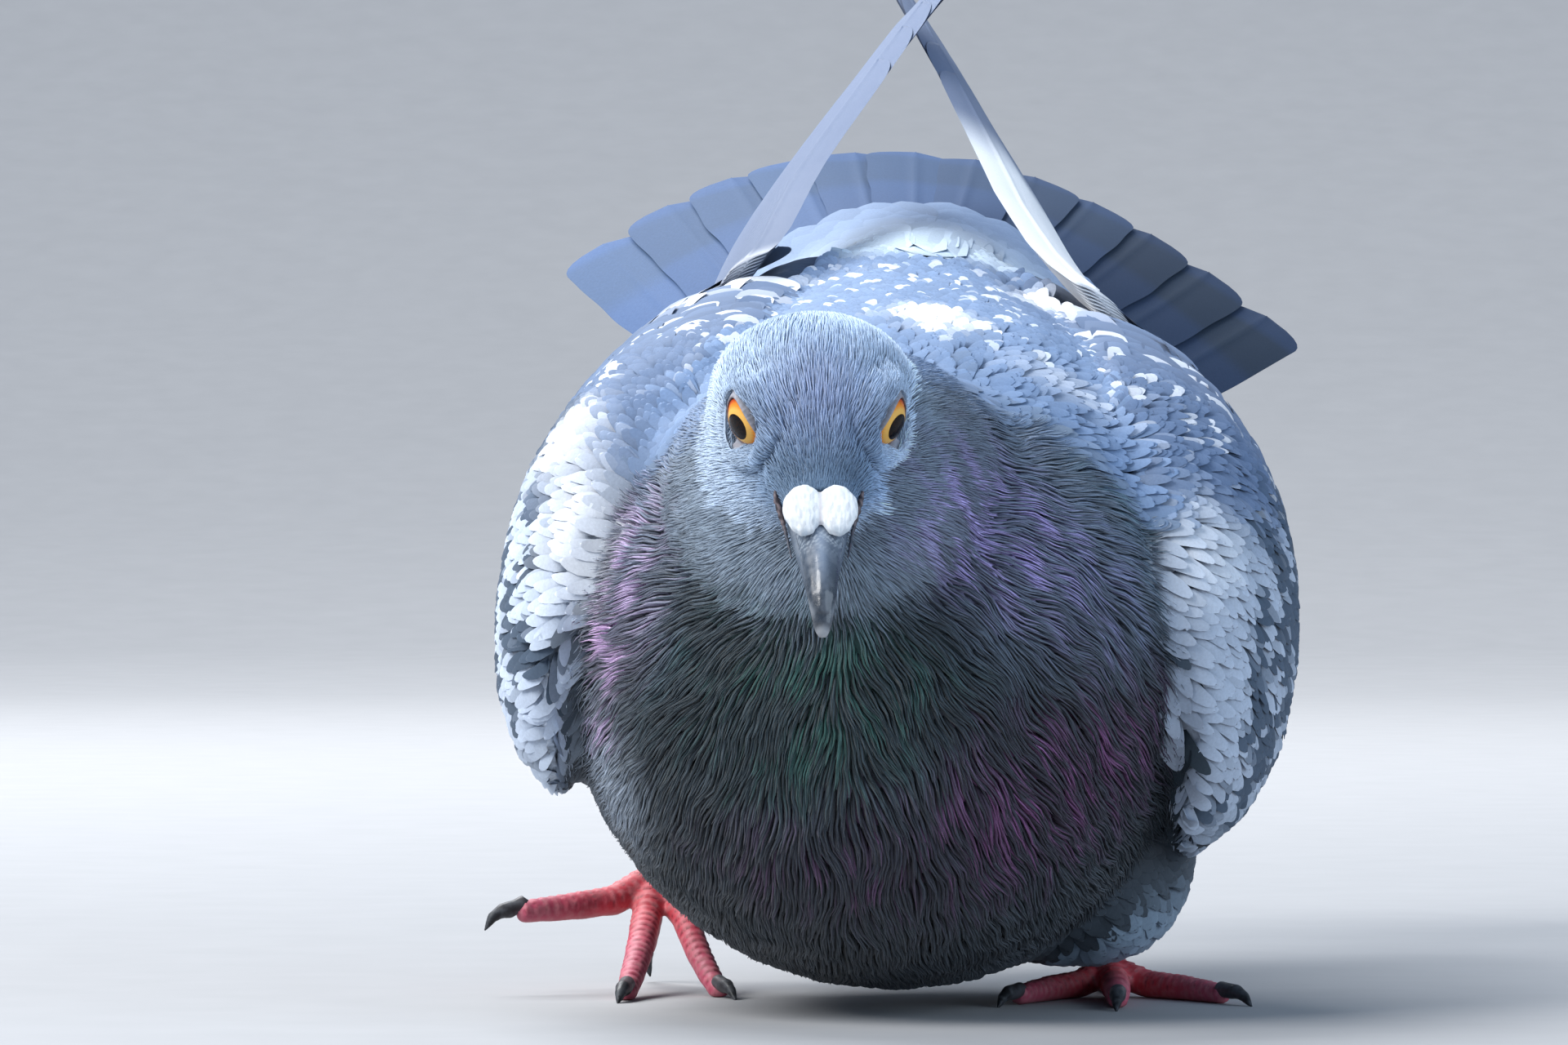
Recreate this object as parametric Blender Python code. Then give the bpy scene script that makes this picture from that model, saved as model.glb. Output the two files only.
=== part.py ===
"""Life-size still model of a feral rock pigeon, crouched in a low bow with one foot lifted behind.

The bird faces -Y with +Z up. Every length is in metres and each sub-part is its own object.
Feathered parts are solids of the outer shape of the plumage. The body leans a few degrees onto its
left leg, so trunk, wings and tail are built upright and then rolled together about one lengthwise axis.
"""

from dataclasses import dataclass
from math import cos, exp, pi, radians, sin

import bmesh
import bpy
import numpy as np
from mathutils import Matrix, Vector

MM = 0.001
GAP = 0.35 * MM  # clearance that each piece keeps to the one it was cut by

# Stance: the whole body leans onto the left leg about a lengthwise axis at this height.
BODY_ROLL = radians(5.5)
ROLL_HEIGHT = 55 * MM

# Head: midpoint between the eyes, and how far the bill points below level.
HEAD_CENTRE = Vector((-11.5, -88, 80.7)) * MM
HEAD_PITCH = radians(46)
HEAD_TURN = radians(2)  # the bill points a little to the bird's left

# Squareness of cross-sections over and under their widest level: 2 is a true ellipse, more is boxier.
TRUNK_SQUARENESS = (2.12, 2.05)
HEAD_SQUARENESS = (2.0, 2.1)
NECK_SQUARENESS = (2.0, 2.0)
THIGH_SQUARENESS = (2.2, 2.4)
BILL_SQUARENESS = (2.0, 2.3)

EYE_RADIUS = 5.2 * MM
EYE_SINK = 3.75 * MM  # from the eyeball's centre out to the rim of the lids
EYE_RIM = Vector((9.75, -1.8, 0.2)) * MM  # middle of the left eye's opening, in the head's frame
EYE_OUTLOOK = Vector((0.725, -0.66, 0.20)).normalized()
EYE_HOLLOW = 1.5 * MM  # how far the face sinks in round each eye
EYE_HOLLOW_SPREAD = 4.6 * MM

TOE_SIDES = 8
CLAW_SIDES = 6
FEET_BACK = 3 * MM  # sets both feet squarely under the centre of mass


@dataclass(frozen=True)
class Section:
    """One cross-section of a lofted body, in millimetres: where it stands along the loft's own +Y
    axis, its half width, the heights of its top, of its widest level and of its bottom, and how far
    its middle is shifted sideways."""

    along: float
    half_width: float
    top: float
    waist: float
    bottom: float
    side: float = 0.0

    def row(self):
        """The section's sizes as one row of numbers in metres."""
        sizes = (self.along, self.half_width, self.top, self.waist, self.bottom, self.side)
        return [size * MM for size in sizes]


TRUNK = (
    Section(-87.0, 0, 49, 49, 49, -3.5),
    Section(-84.5, 15, 63, 49, 35, -3.5),
    Section(-77.5, 27, 75, 49, 20, -3.5),
    Section(-63, 37.5, 86, 50, 9.0, -2.8),
    Section(-42, 44.5, 93, 51, 3.6, -1.2),
    Section(-15, 47.3, 98, 53, 2.6, 0.8),
    Section(16, 45.5, 101, 57, 8.5, 1.0),
    Section(46, 37, 104, 68, 26, 0.8),
    Section(72, 26.5, 108, 85, 54, 0.8),
    Section(92, 17, 111.5, 99, 79, 1),
    Section(106, 9, 112.5, 107, 97, 1.5),
    Section(113, 0, 109.5, 109.5, 109.5, 1.5),
)

# The head's own frame looks along -Y, before it is pitched down.
HEAD = (
    Section(-15.8, 0, -2.5, -2.5, -2.5),
    Section(-14.6, 3.6, 1.2, -2.6, -6.0),
    Section(-11.5, 6.4, 3.8, -4.0, -9.0),
    Section(-7, 10.6, 6.8, -7.6, -14.0),
    Section(-2, 13.8, 9.6, -9.0, -17.4),
    Section(4, 14.4, 11.4, -9.0, -19.4),
    Section(10, 14.4, 10.4, -9.0, -20.0),
    Section(16, 13.6, 4.6, -9.0, -19.0),
    Section(21, 9.6, -2.5, -9.0, -15.4),
    Section(23.4, 0, -9.2, -9.2, -9.2),
)

# The neck's own frame runs from the head's base down and back into the trunk.
NECK_START = Vector((-11.2, -86, 82)) * MM
NECK_END = Vector((-3.5, -34, 58)) * MM
NECK = (
    Section(0, 0, 0, 0, 0),
    Section(1.5, 8, 6, -2, -12),
    Section(6, 15.5, 11.5, -4, -21),
    Section(14, 22.0, 17.5, -4, -28.5),
    Section(25, 29.0, 21.0, -2, -33),
    Section(37, 35.0, 23.5, 0, -34),
    Section(50, 34, 25.0, 0, -30),
    Section(57, 0, 0, 0, 0),
)


@dataclass(frozen=True)
class WingSection:
    """One upright cut through the folded wing: its place along Y and its thickness, in millimetres,
    and the angles round the trunk, in degrees above level, between which it covers the body."""

    along: float
    thickness: float
    low_angle: float
    high_angle: float

    def row(self):
        """The cut's sizes as one row of numbers, in metres and radians."""
        return [self.along * MM, self.thickness * MM, radians(self.low_angle), radians(self.high_angle)]


WING = (
    WingSection(-60, 3.4, 2, 20),
    WingSection(-55, 6.6, -19, 36),
    WingSection(-44, 8.4, -29, 50),
    WingSection(-26, 8.4, -30, 58),
    WingSection(0, 7.6, -23, 62),
    WingSection(26, 7.8, -10, 63),
    WingSection(50, 6.4, 8, 63),
    WingSection(66, 4.8, 26, 63),
    WingSection(76, 2.6, 40, 62),
)
WING_FLARE = 5.0 * MM  # how far the wing's lower edge stands off the body at the wrist


@dataclass(frozen=True)
class Blade:
    """The folded stack of flight feathers of one wing: points along its middle in millimetres in the
    leaning body's own frame, its width and thickness at those points, and the directions of its width
    at its root and at its tip."""

    middle: tuple
    width: tuple
    thickness: tuple
    root_across: tuple
    tip_across: tuple


LEFT_PRIMARIES = Blade(
    middle=(
        (28, 36, 100.4),
        (24.5, 50, 103),
        (17.5, 72, 111.5),
        (10.4, 95, 123.8),
        (2.5, 116, 136.4),
        (-4.5, 132.5, 147.2),
        (-12.5, 149, 159),
        (-17, 159, 165),
    ),
    width=(11, 15.5, 16, 14.5, 12.5, 10.5, 7, 2.4),
    thickness=(2.4, 3.4, 3.4, 3.2, 2.8, 2.4, 1.8, 1.1),
    root_across=(0.80, 0.53, -0.29),
    tip_across=(0.65, 0.59, -0.47),
)
RIGHT_PRIMARIES = Blade(
    middle=(
        (-27, 38, 100.4),
        (-26, 52, 102.6),
        (-24.5, 68, 107.6),
        (-21.5, 84, 115.5),
        (-13.5, 98.5, 129.6),
        (-4, 114, 145.6),
        (6.5, 133.5, 160.5),
        (10, 141.5, 165),
    ),
    width=(9, 12, 14, 14.5, 13.5, 11.5, 7, 2.4),
    thickness=(2.4, 3.4, 3.4, 3.2, 2.8, 2.4, 1.8, 1.1),
    root_across=(-0.66, 0.66, -0.35),
    tip_across=(-0.66, 0.66, -0.35),
)


@dataclass(frozen=True)
class Fan:
    """The spread tail: the feathers' roots lie on one arch round the rump and their tips on a wider
    one behind it. Heights and places are in millimetres, in the leaning body's own frame."""

    root_half_width: float = 25.0
    root_back: float = 78.0
    root_height: float = 106.0
    root_droop: float = 29.0
    tip_half_width: float = 59.6
    tip_back: float = 171.0
    tip_sweep: float = 20.0
    tip_height: float = 125.0
    tip_droop: float = 25.5
    right_arch: float = 2.3
    left_arch: float = 1.75
    tip_shift: float = 3.3
    scallop: float = 3.2
    root_thickness: float = 3.6
    tip_thickness: float = 1.0

    def point(self, across, out, over):
        """A point of the fan: a share from side to side, a share from root to tip, a height over it."""
        root = Vector(
            (1.0 + self.root_half_width * across, self.root_back, self.root_height - self.root_droop * across**2)
        )
        scallop = self.scallop * (1 - abs(sin(pi * TAIL_FEATHERS * (across + 1) / 2)) ** 0.6)
        tip = Vector(
            (
                self.tip_shift + self.tip_half_width * across,
                self.tip_back - self.tip_sweep * across**2 - scallop,
                self.tip_height - self.tip_droop * abs(across) ** (self.left_arch if across > 0 else self.right_arch),
            )
        )
        half = (self.root_thickness * (1 - out) + self.tip_thickness * out) / 2
        return (root.lerp(tip, out) + Vector((0, 0, half * over - 2.5 * out * (1 - out)))) * MM


TAIL_FEATHERS = 12


@dataclass(frozen=True)
class Limb:
    """A round tapering limb: its points and its radius at each of them, in millimetres."""

    points: tuple
    radii: tuple


TARSI = {
    "tarsus_left": Limb(((30.8, 0.6, 4.6), (30.4, 6, 16), (29.6, 13, 30)), (2.3, 2.1, 2.9)),
    "tarsus_right": Limb(((-34.4, 19.4, 16.4), (-31.5, 23, 28), (-26, 26, 43)), (2.3, 2.1, 2.9)),
}
TOES = {
    "toe_left_middle": Limb(((30.8, -5.2, 1.9), (30.7, -17, 1.75), (30.4, -29.6, 1.4)), (2.2, 2.0, 1.6)),
    "toe_left_outer": Limb(((35.4, -3.6, 1.8), (40.6, -10.8, 1.65), (44.8, -18.6, 1.3)), (2.05, 1.85, 1.5)),
    "toe_left_inner": Limb(((26.0, -4.0, 1.8), (21.2, -12.5, 1.65), (17.4, -21.0, 1.3)), (2.05, 1.85, 1.5)),
    "toe_left_hind": Limb(((30.6, 6.2, 1.7), (30.0, 11, 1.5), (29.2, 16.0, 1.25)), (1.9, 1.7, 1.4)),
    "toe_right_middle": Limb(((-35.4, 13.8, 11.2), (-36.4, 2, 5.8), (-37.8, -10.5, 1.25)), (2.2, 2.0, 1.6)),
    "toe_right_outer": Limb(((-40.2, 14.4, 12.9), (-45.6, 10, 12.3), (-51.8, 6, 11.8)), (2.15, 2.0, 1.7)),
    "toe_right_inner": Limb(((-30.2, 13.4, 11.0), (-27.8, 5, 5.4), (-25.2, -2.8, 1.15)), (2.05, 1.85, 1.5)),
    "toe_right_hind": Limb(((-34.8, 25.0, 12.8), (-35.0, 29.4, 9.6), (-35.6, 33.0, 6.0)), (1.9, 1.7, 1.4)),
}
CLAWS = {
    "claw_left_middle": Limb(((30.3, -32.2, 1.9), (30.1, -35.2, 1.9), (29.9, -38.2, 0.3)), (1.3, 1.0, 0.4)),
    "claw_left_outer": Limb(((46.1, -21.0, 1.8), (47.6, -23.7, 1.8), (48.8, -26.3, 0.3)), (1.2, 0.95, 0.4)),
    "claw_left_inner": Limb(((16.3, -23.4, 1.8), (15.0, -26.2, 1.8), (14.0, -28.8, 0.3)), (1.2, 0.95, 0.4)),
    "claw_left_hind": Limb(((28.9, 18.4, 1.7), (28.7, 20.8, 1.7), (28.5, 23.2, 0.3)), (1.1, 0.85, 0.4)),
    "claw_right_middle": Limb(((-38.1, -13.1, 1.9), (-38.5, -16.0, 1.8), (-38.9, -18.6, 0.3)), (1.3, 1.0, 0.4)),
    "claw_right_outer": Limb(((-54.4, 5.0, 12.1), (-56.6, 4.0, 11.6), (-57.9, 3.4, 9.7)), (1.25, 0.95, 0.4)),
    "claw_right_inner": Limb(((-24.5, -5.2, 1.8), (-23.6, -7.8, 1.7), (-22.8, -10.2, 0.3)), (1.2, 0.95, 0.4)),
    "claw_right_hind": Limb(((-35.8, 35.0, 4.6), (-35.8, 36.6, 3.2), (-35.4, 37.0, 1.4)), (1.1, 0.85, 0.4)),
}

# Upper and lower halves of the bill in the head's frame: along, half width, top, waist, bottom.
BILL_UPPER = (
    Section(-34.2, 0, -4.9, -4.9, -4.9),
    Section(-33.8, 0.9, -3.7, -4.6, -5.6),
    Section(-32.2, 1.4, -2.3, -3.6, -4.7),
    Section(-29.5, 1.9, -0.9, -2.5, -3.7),
    Section(-25.5, 2.25, -0.1, -2.1, -3.3),
    Section(-21.5, 2.9, -0.2, -2.1, -3.3),
    Section(-16.5, 3.6, 0.3, -2.2, -3.5),
    Section(-11, 4.0, 0.4, -2.2, -3.6),
    Section(-9.5, 0, -1.8, -1.8, -1.8),
)
BILL_LOWER = (
    Section(-32.2, 0, -5.4, -5.4, -5.4),
    Section(-31.6, 0.9, -4.7, -5.3, -6.0),
    Section(-28, 1.7, -3.4, -4.6, -6.1),
    Section(-23, 2.6, -3.1, -4.4, -6.3),
    Section(-17, 3.7, -3.2, -4.6, -7.2),
    Section(-11, 4.2, -3.4, -4.9, -7.8),
    Section(-9.5, 0, -5.8, -5.8, -5.8),
)
CERE_LOBE_CENTRE = Vector((2.35, -17.3, 1.15)) * MM
CERE_LOBE_RADII = (2.55 * MM, 4.0 * MM, 2.15 * MM)
CERE_LOBE_TOE_IN = radians(9)

# Feathered thighs where they bulge out of the body, in the standing bird's own frame.
THIGHS = {
    "thigh_left": (
        Section(-37, 0, 17, 17, 17, 24),
        Section(-34, 8, 25, 17, 10.5, 24),
        Section(-22, 15.5, 38, 21, 5.4, 24.5),
        Section(-6, 18.4, 44, 24, 4.8, 24.3),
        Section(8, 17, 44, 26, 5.6, 24),
        Section(18, 11, 42, 29, 15, 23),
        Section(23, 0, 30, 30, 30, 22),
    ),
    "thigh_right": (
        Section(-6, 0, 32, 32, 32, -22),
        Section(-3, 7, 42, 33, 22, -22),
        Section(6, 12, 50, 34, 15.5, -23),
        Section(16, 13.4, 52, 35, 14.6, -23.5),
        Section(26, 11, 50, 36, 19, -23),
        Section(33, 6, 44, 37, 28, -23),
        Section(36, 0, 36, 36, 36, -23),
    ),
}

PLUMAGE_GREY = (0.20, 0.25, 0.32, 1)
NECK_SLATE = (0.09, 0.12, 0.15, 1)
WING_PALE = (0.42, 0.47, 0.58, 1)
LEG_RED = (0.45, 0.06, 0.07, 1)
HORN_DARK = (0.05, 0.06, 0.08, 1)
CERE_WHITE = (0.85, 0.86, 0.88, 1)
EYE_ORANGE = (0.75, 0.25, 0.04, 1)


def clear_scene():
    """Removes every object of the startup scene."""
    for obj in list(bpy.data.objects):
        bpy.data.objects.remove(obj)


def material(name, colour, roughness):
    """A Principled BSDF of one colour and roughness, made once for each name."""
    found = bpy.data.materials.get(name)
    if found:
        return found
    made = bpy.data.materials.new(name)
    made.use_nodes = True
    shader = made.node_tree.nodes["Principled BSDF"]
    shader.inputs["Base Color"].default_value = colour
    shader.inputs["Roughness"].default_value = roughness
    shader.inputs["Metallic"].default_value = 0.0
    return made


def new_object(name, points, faces, finish):
    """A smooth-shaded mesh object from points and faces, with its faces pointing out."""
    mesh = bpy.data.meshes.new(name)
    mesh.from_pydata([tuple(point) for point in points], [], faces)
    shape = bmesh.new()
    shape.from_mesh(mesh)
    bmesh.ops.recalc_face_normals(shape, faces=shape.faces)
    shape.to_mesh(mesh)
    shape.free()
    mesh.shade_smooth()
    obj = bpy.data.objects.new(name, mesh)
    obj.data.materials.append(finish)
    bpy.context.scene.collection.objects.link(obj)
    return obj


def eased(rows, at):
    """The rows' values at a place counted in rows, on a smooth curve through all of them."""
    rows = np.asarray(rows, float)
    slopes = np.gradient(rows, axis=0)
    slopes[0] *= 0.5
    slopes[-1] *= 0.5
    low = min(int(at), len(rows) - 2)
    t = at - low
    first, second = rows[low], rows[low + 1]
    return (
        (2 * t**3 - 3 * t**2 + 1) * first
        + (t**3 - 2 * t**2 + t) * slopes[low]
        + (3 * t**2 - 2 * t**3) * second
        + (t**3 - t**2) * slopes[low + 1]
    )


def signed_power(value, power):
    """A power that keeps the value's sign."""
    return abs(value) ** power if value >= 0 else -(abs(value) ** power)


def section_point(values, angle, squareness):
    """The point at an angle round one cross-section, counted up from its +X side."""
    along, half_width, top, waist, bottom, side = values
    power = 2 / squareness[0 if sin(angle) >= 0 else 1]
    across = signed_power(cos(angle), power)
    height = signed_power(sin(angle), power)
    reach = top - waist if height >= 0 else waist - bottom
    return Vector((side + half_width * across, along, waist + reach * height))


def ring_faces(rings, sides):
    """Quads between neighbouring rings of points, and a fan to the pole at each end.

    The first point of the list is the front pole and the last one the rear pole."""
    faces = []
    last_pole = 1 + rings * sides
    for side in range(sides):
        after = (side + 1) % sides
        faces.append((0, 1 + after, 1 + side))
        start = 1 + (rings - 1) * sides
        faces.append((last_pole, start + side, start + after))
        for ring in range(rings - 1):
            low = 1 + ring * sides
            high = low + sides
            faces.append((low + side, low + after, high + after, high + side))
    return faces


def loft(name, sections, rings, sides, squareness, finish):
    """A closed body through its sections; the first and the last of them are its poles."""
    rows = [section.row() for section in sections]
    points = [section_point(rows[0], 0, squareness)]
    for ring in range(1, rings + 1):
        values = eased(rows, ring / (rings + 1) * (len(rows) - 1))
        values[1] = max(values[1], 0.2 * MM)
        for side in range(sides):
            points.append(section_point(values, 2 * pi * side / sides, squareness))
    points.append(section_point(rows[-1], 0, squareness))
    return new_object(name, points, ring_faces(rings, sides), finish)


def frame_along(direction, up=Vector((0, 0, 1))):
    """Two directions across a limb that runs in the given direction."""
    side = direction.cross(up)
    if side.length < 1e-4:
        side = direction.cross(Vector((0, 1, 0)))
    side.normalize()
    return side, side.cross(direction).normalized()


def tube(name, limb, rings, sides, finish, floor=True):
    """A round limb along a smooth curve, with domed ends, flattened where it meets the floor."""
    rows = [[*point, radius] for point, radius in zip(limb.points, limb.radii, strict=True)]
    spine = [eased(rows, ring / (rings - 1) * (len(rows) - 1)) * MM for ring in range(rings)]
    middles = [Vector(values[:3]) for values in spine]
    radii = [values[3] for values in spine]
    starts = (middles[1] - middles[0]).normalized()
    ends = (middles[-1] - middles[-2]).normalized()
    dome = ((-0.62, 0.74),)
    circles = [(middles[0] + starts * radii[0] * back, radii[0] * share, starts) for back, share in dome]
    for index, middle in enumerate(middles):
        before, after = middles[max(index - 1, 0)], middles[min(index + 1, rings - 1)]
        circles.append((middle, radii[index], (after - before).normalized()))
    for back, share in reversed(dome):
        circles.append((middles[-1] - ends * radii[-1] * back, radii[-1] * share, ends))
    points = [middles[0] - starts * radii[0]]
    for middle, radius, direction in circles:
        across, over = frame_along(direction)
        for side in range(sides):
            angle = 2 * pi * (side + 0.5) / sides
            points.append(middle + (across * cos(angle) + over * sin(angle)) * radius)
    points.append(middles[-1] + ends * radii[-1])
    if floor:
        for point in points:
            point.z = max(point.z, 0.0)
    return new_object(name, points, ring_faces(len(circles), sides), finish)


def grown_copy(obj, by):
    """A hidden copy of an object, swollen by a clearance, to cut its neighbours with."""
    cutter = obj.copy()
    cutter.data = obj.data.copy()
    cutter.name = obj.name + "_cutter"
    cutter.modifiers.clear()
    shape = bmesh.new()
    shape.from_mesh(cutter.data)
    shape.normal_update()
    for vertex in shape.verts:
        vertex.co += vertex.normal * by
    shape.to_mesh(cutter.data)
    shape.free()
    cutter.hide_render = True
    cutter.display_type = "WIRE"
    bpy.context.scene.collection.objects.link(cutter)
    return cutter


def cut(obj, *others):
    """Takes the other objects' shapes, with clearance, out of this one."""
    for other in others:
        modifier = obj.modifiers.new("cut_" + other.name, "BOOLEAN")
        modifier.operation = "DIFFERENCE"
        modifier.solver = "EXACT"
        modifier.object = grown_copy(other, GAP)


def ellipsoid(name, centre, radii, segments, rings, finish):
    """A closed ellipsoid about a centre."""
    shape = bmesh.new()
    bmesh.ops.create_uvsphere(shape, u_segments=segments, v_segments=rings, radius=1.0)
    bmesh.ops.scale(shape, vec=Vector(radii), verts=shape.verts)
    mesh = bpy.data.meshes.new(name)
    shape.to_mesh(mesh)
    shape.free()
    mesh.shade_smooth()
    obj = bpy.data.objects.new(name, mesh)
    obj.location = centre
    obj.data.materials.append(finish)
    bpy.context.scene.collection.objects.link(obj)
    return obj


def rolled(point):
    """A point of the upright body after the body has leaned over."""
    pivot = Vector((0, 0, ROLL_HEIGHT))
    return Matrix.Rotation(BODY_ROLL, 3, "Y") @ (Vector(point) - pivot) + pivot


def lean(obj):
    """Leans an object of the upright body over with it."""
    for vertex in obj.data.vertices:
        vertex.co = rolled(vertex.co)
    return obj


def trunk():
    """Breast, belly, back and rump in one egg-like body."""
    return lean(loft("trunk", TRUNK, 23, 30, TRUNK_SQUARENESS, material("slate_plumage", PLUMAGE_GREY, 0.7)))


def head_matrix():
    """Carries the head's own frame into its bowed place."""
    turn = Matrix.Rotation(HEAD_TURN, 4, "Z")
    return Matrix.Translation(HEAD_CENTRE) @ turn @ Matrix.Rotation(HEAD_PITCH, 4, "X")


def head():
    """Skull, cheeks and throat, with the feathers' outer shape."""
    obj = loft("head", HEAD, 16, 22, HEAD_SQUARENESS, material("head_plumage", PLUMAGE_GREY, 0.7))
    for vertex in obj.data.vertices:
        away = Vector((0, vertex.co.y - EYE_RIM.y, vertex.co.z - EYE_RIM.z)).length / EYE_HOLLOW_SPREAD
        beside = min(abs(vertex.co.x) / EYE_RIM.x, 1)
        vertex.co.x -= EYE_HOLLOW * exp(-away * away / 2) * beside**2 * (1 if vertex.co.x > 0 else -1)
    obj.matrix_world = head_matrix()
    return obj


def neck():
    """The swollen collar of neck feathers between the head and the breast."""
    obj = loft("neck", NECK, 12, 22, NECK_SQUARENESS, material("neck_plumage", NECK_SLATE, 0.5))
    run = (NECK_END - NECK_START).normalized()
    obj.matrix_world = Matrix.Translation(NECK_START) @ run.to_track_quat("Y", "Z").to_matrix().to_4x4()
    return obj


def sheet_faces(rows, columns):
    """Faces of a closed sheet: an upper grid of points, then the same grid again underneath."""
    wide = columns + 1
    under = (rows + 1) * wide
    faces = []
    for row in range(rows):
        for column in range(columns):
            a = row * wide + column
            b, c, d = a + 1, a + wide + 1, a + wide
            faces += [(a, b, c, d), (under + d, under + c, under + b, under + a)]
        for edge in (row * wide, row * wide + columns):
            faces.append((edge, edge + wide, under + edge + wide, under + edge))
    for column in range(columns):
        for edge in (column, rows * wide + column):
            faces.append((edge, edge + 1, under + edge + 1, under + edge))
    return faces


def wing(name, mirror):
    """A folded wing as a shell of feathers that hugs the trunk's own outline."""
    rows = [section.row() for section in WING]
    body = [section.row() for section in TRUNK]
    body_places = [row[0] for row in body]
    cuts, steps = 13, 9
    inner, outer = [], []
    for index in range(cuts + 1):
        share_back = index / cuts
        along, thickness, low, high = eased(rows, share_back * (len(rows) - 1))
        values = eased(body, np.interp(along, body_places, range(len(body))))
        values[5] *= mirror
        middle = Vector((values[5], along, values[3]))
        for step in range(steps + 1):
            share = step / steps
            skin = section_point(values, low + (high - low) * share, TRUNK_SQUARENESS)
            away = (skin - middle) * Vector((1, 0, 1))
            away.normalize()
            flare = WING_FLARE * max(0, 1 - share / 0.35) ** 2 * max(0, 1 - share_back * 1.6)
            power = 5 if share < 0.5 else 3
            bulge = max(1 - abs(2 * share - 1) ** power, 0.16)
            inner.append(skin + away * (GAP * 2 + flare))
            outer.append(skin + away * (GAP * 2 + flare + thickness * bulge))
    points = [Vector((point.x * mirror, point.y, point.z)) for point in outer + inner]
    faces = sheet_faces(cuts, steps)
    return lean(new_object(name, points, faces, material("wing_plumage", WING_PALE, 0.65)))


def flight_feathers(name, blade):
    """The closed fan of primaries that sticks out behind a folded wing, as one tapering blade."""
    rows = [
        [*point, width, thickness]
        for point, width, thickness in zip(blade.middle, blade.width, blade.thickness, strict=True)
    ]
    rings, sides = 11, 10
    spine = [eased(rows, ring / (rings - 1) * (len(rows) - 1)) * MM for ring in range(rings)]
    middles = [Vector(values[:3]) for values in spine]
    points = [middles[0] - (middles[1] - middles[0]) * 0.12]
    for index, values in enumerate(spine):
        before, after = middles[max(index - 1, 0)], middles[min(index + 1, rings - 1)]
        run = (after - before).normalized()
        hint = Vector(blade.root_across).lerp(Vector(blade.tip_across), index / (rings - 1))
        across = (hint - run * hint.dot(run)).normalized()
        over = run.cross(across).normalized()
        for side in range(sides):
            angle = 2 * pi * side / sides
            flat = signed_power(sin(angle), 0.7) * values[4] / 2
            points.append(middles[index] + across * cos(angle) * values[3] / 2 + over * flat)
    points.append(middles[-1] + (middles[-1] - middles[-2]) * 0.12)
    return lean(new_object(name, points, ring_faces(rings, sides), material("flight_feathers", PLUMAGE_GREY, 0.6)))


def tail():
    """Twelve tail feathers as one arched fan with scalloped tips."""
    fan = Fan()
    steps, rings = 36, 4
    grid = [(2 * step / steps - 1, ring / rings) for step in range(steps + 1) for ring in range(rings + 1)]
    points = [fan.point(across, out, over) for over in (1, -1) for across, out in grid]
    faces = sheet_faces(steps, rings)
    return lean(new_object("tail", points, faces, material("slate_plumage", PLUMAGE_GREY, 0.7)))


def eye(name, mirror):
    """An eyeball whose front stands in the opening of the lids."""
    rim = Vector((EYE_RIM.x * mirror, EYE_RIM.y, EYE_RIM.z))
    outlook = Vector((EYE_OUTLOOK.x * mirror, EYE_OUTLOOK.y, EYE_OUTLOOK.z))
    centre = head_matrix() @ (rim - outlook * EYE_SINK)
    radii = (EYE_RADIUS, EYE_RADIUS, EYE_RADIUS)
    return ellipsoid(name, centre, radii, 14, 8, material("eye", EYE_ORANGE, 0.1))


def bill_half(name, sections):
    """Upper or lower half of the bill."""
    obj = loft(name, sections, 10, 10, BILL_SQUARENESS, material("bill_horn", HORN_DARK, 0.35))
    obj.matrix_world = head_matrix()
    return obj


def cere(name, mirror):
    """One of the two white swellings at the base of the bill."""
    centre = Vector((CERE_LOBE_CENTRE.x * mirror, CERE_LOBE_CENTRE.y, CERE_LOBE_CENTRE.z))
    obj = ellipsoid(name, centre, CERE_LOBE_RADII, 10, 7, material("cere", CERE_WHITE, 0.8))
    turn = Matrix.Rotation(CERE_LOBE_TOE_IN * mirror, 4, "Z")
    obj.matrix_world = head_matrix() @ Matrix.Translation(centre) @ turn
    return obj


def thigh(name):
    """A feathered thigh that bulges from the underside of the body."""
    return loft(name, THIGHS[name], 11, 18, THIGH_SQUARENESS, material("slate_plumage", PLUMAGE_GREY, 0.7))


def legs():
    """Bare legs, toes and claws, each a limb of its own."""
    red = material("leg_scales", LEG_RED, 0.6)
    horn = material("claw_horn", HORN_DARK, 0.4)
    tarsi = {name: tube(name, limb, 5, 8, red) for name, limb in TARSI.items()}
    toes = {name: tube(name, limb, 5, TOE_SIDES, red) for name, limb in TOES.items()}
    claws = {name: tube(name, limb, 4, CLAW_SIDES, horn) for name, limb in CLAWS.items()}
    for obj in [*tarsi.values(), *toes.values(), *claws.values()]:
        obj.location.y = FEET_BACK
    return tarsi, toes, claws


def set_down(objects):
    """Moves everything together so that the origin is under the middle of the model's box."""
    bpy.context.view_layer.update()
    graph = bpy.context.evaluated_depsgraph_get()
    corners = []
    for obj in objects:
        if obj.hide_render:
            continue
        shape = obj.evaluated_get(graph)
        corners += [shape.matrix_world @ vertex.co for vertex in shape.data.vertices]
    low = Vector(min(corner[axis] for corner in corners) for axis in range(3))
    high = Vector(max(corner[axis] for corner in corners) for axis in range(3))
    shift = Matrix.Translation((-(low.x + high.x) / 2, -(low.y + high.y) / 2, -low.z))
    for obj in objects:
        obj.matrix_world = shift @ obj.matrix_world


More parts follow.
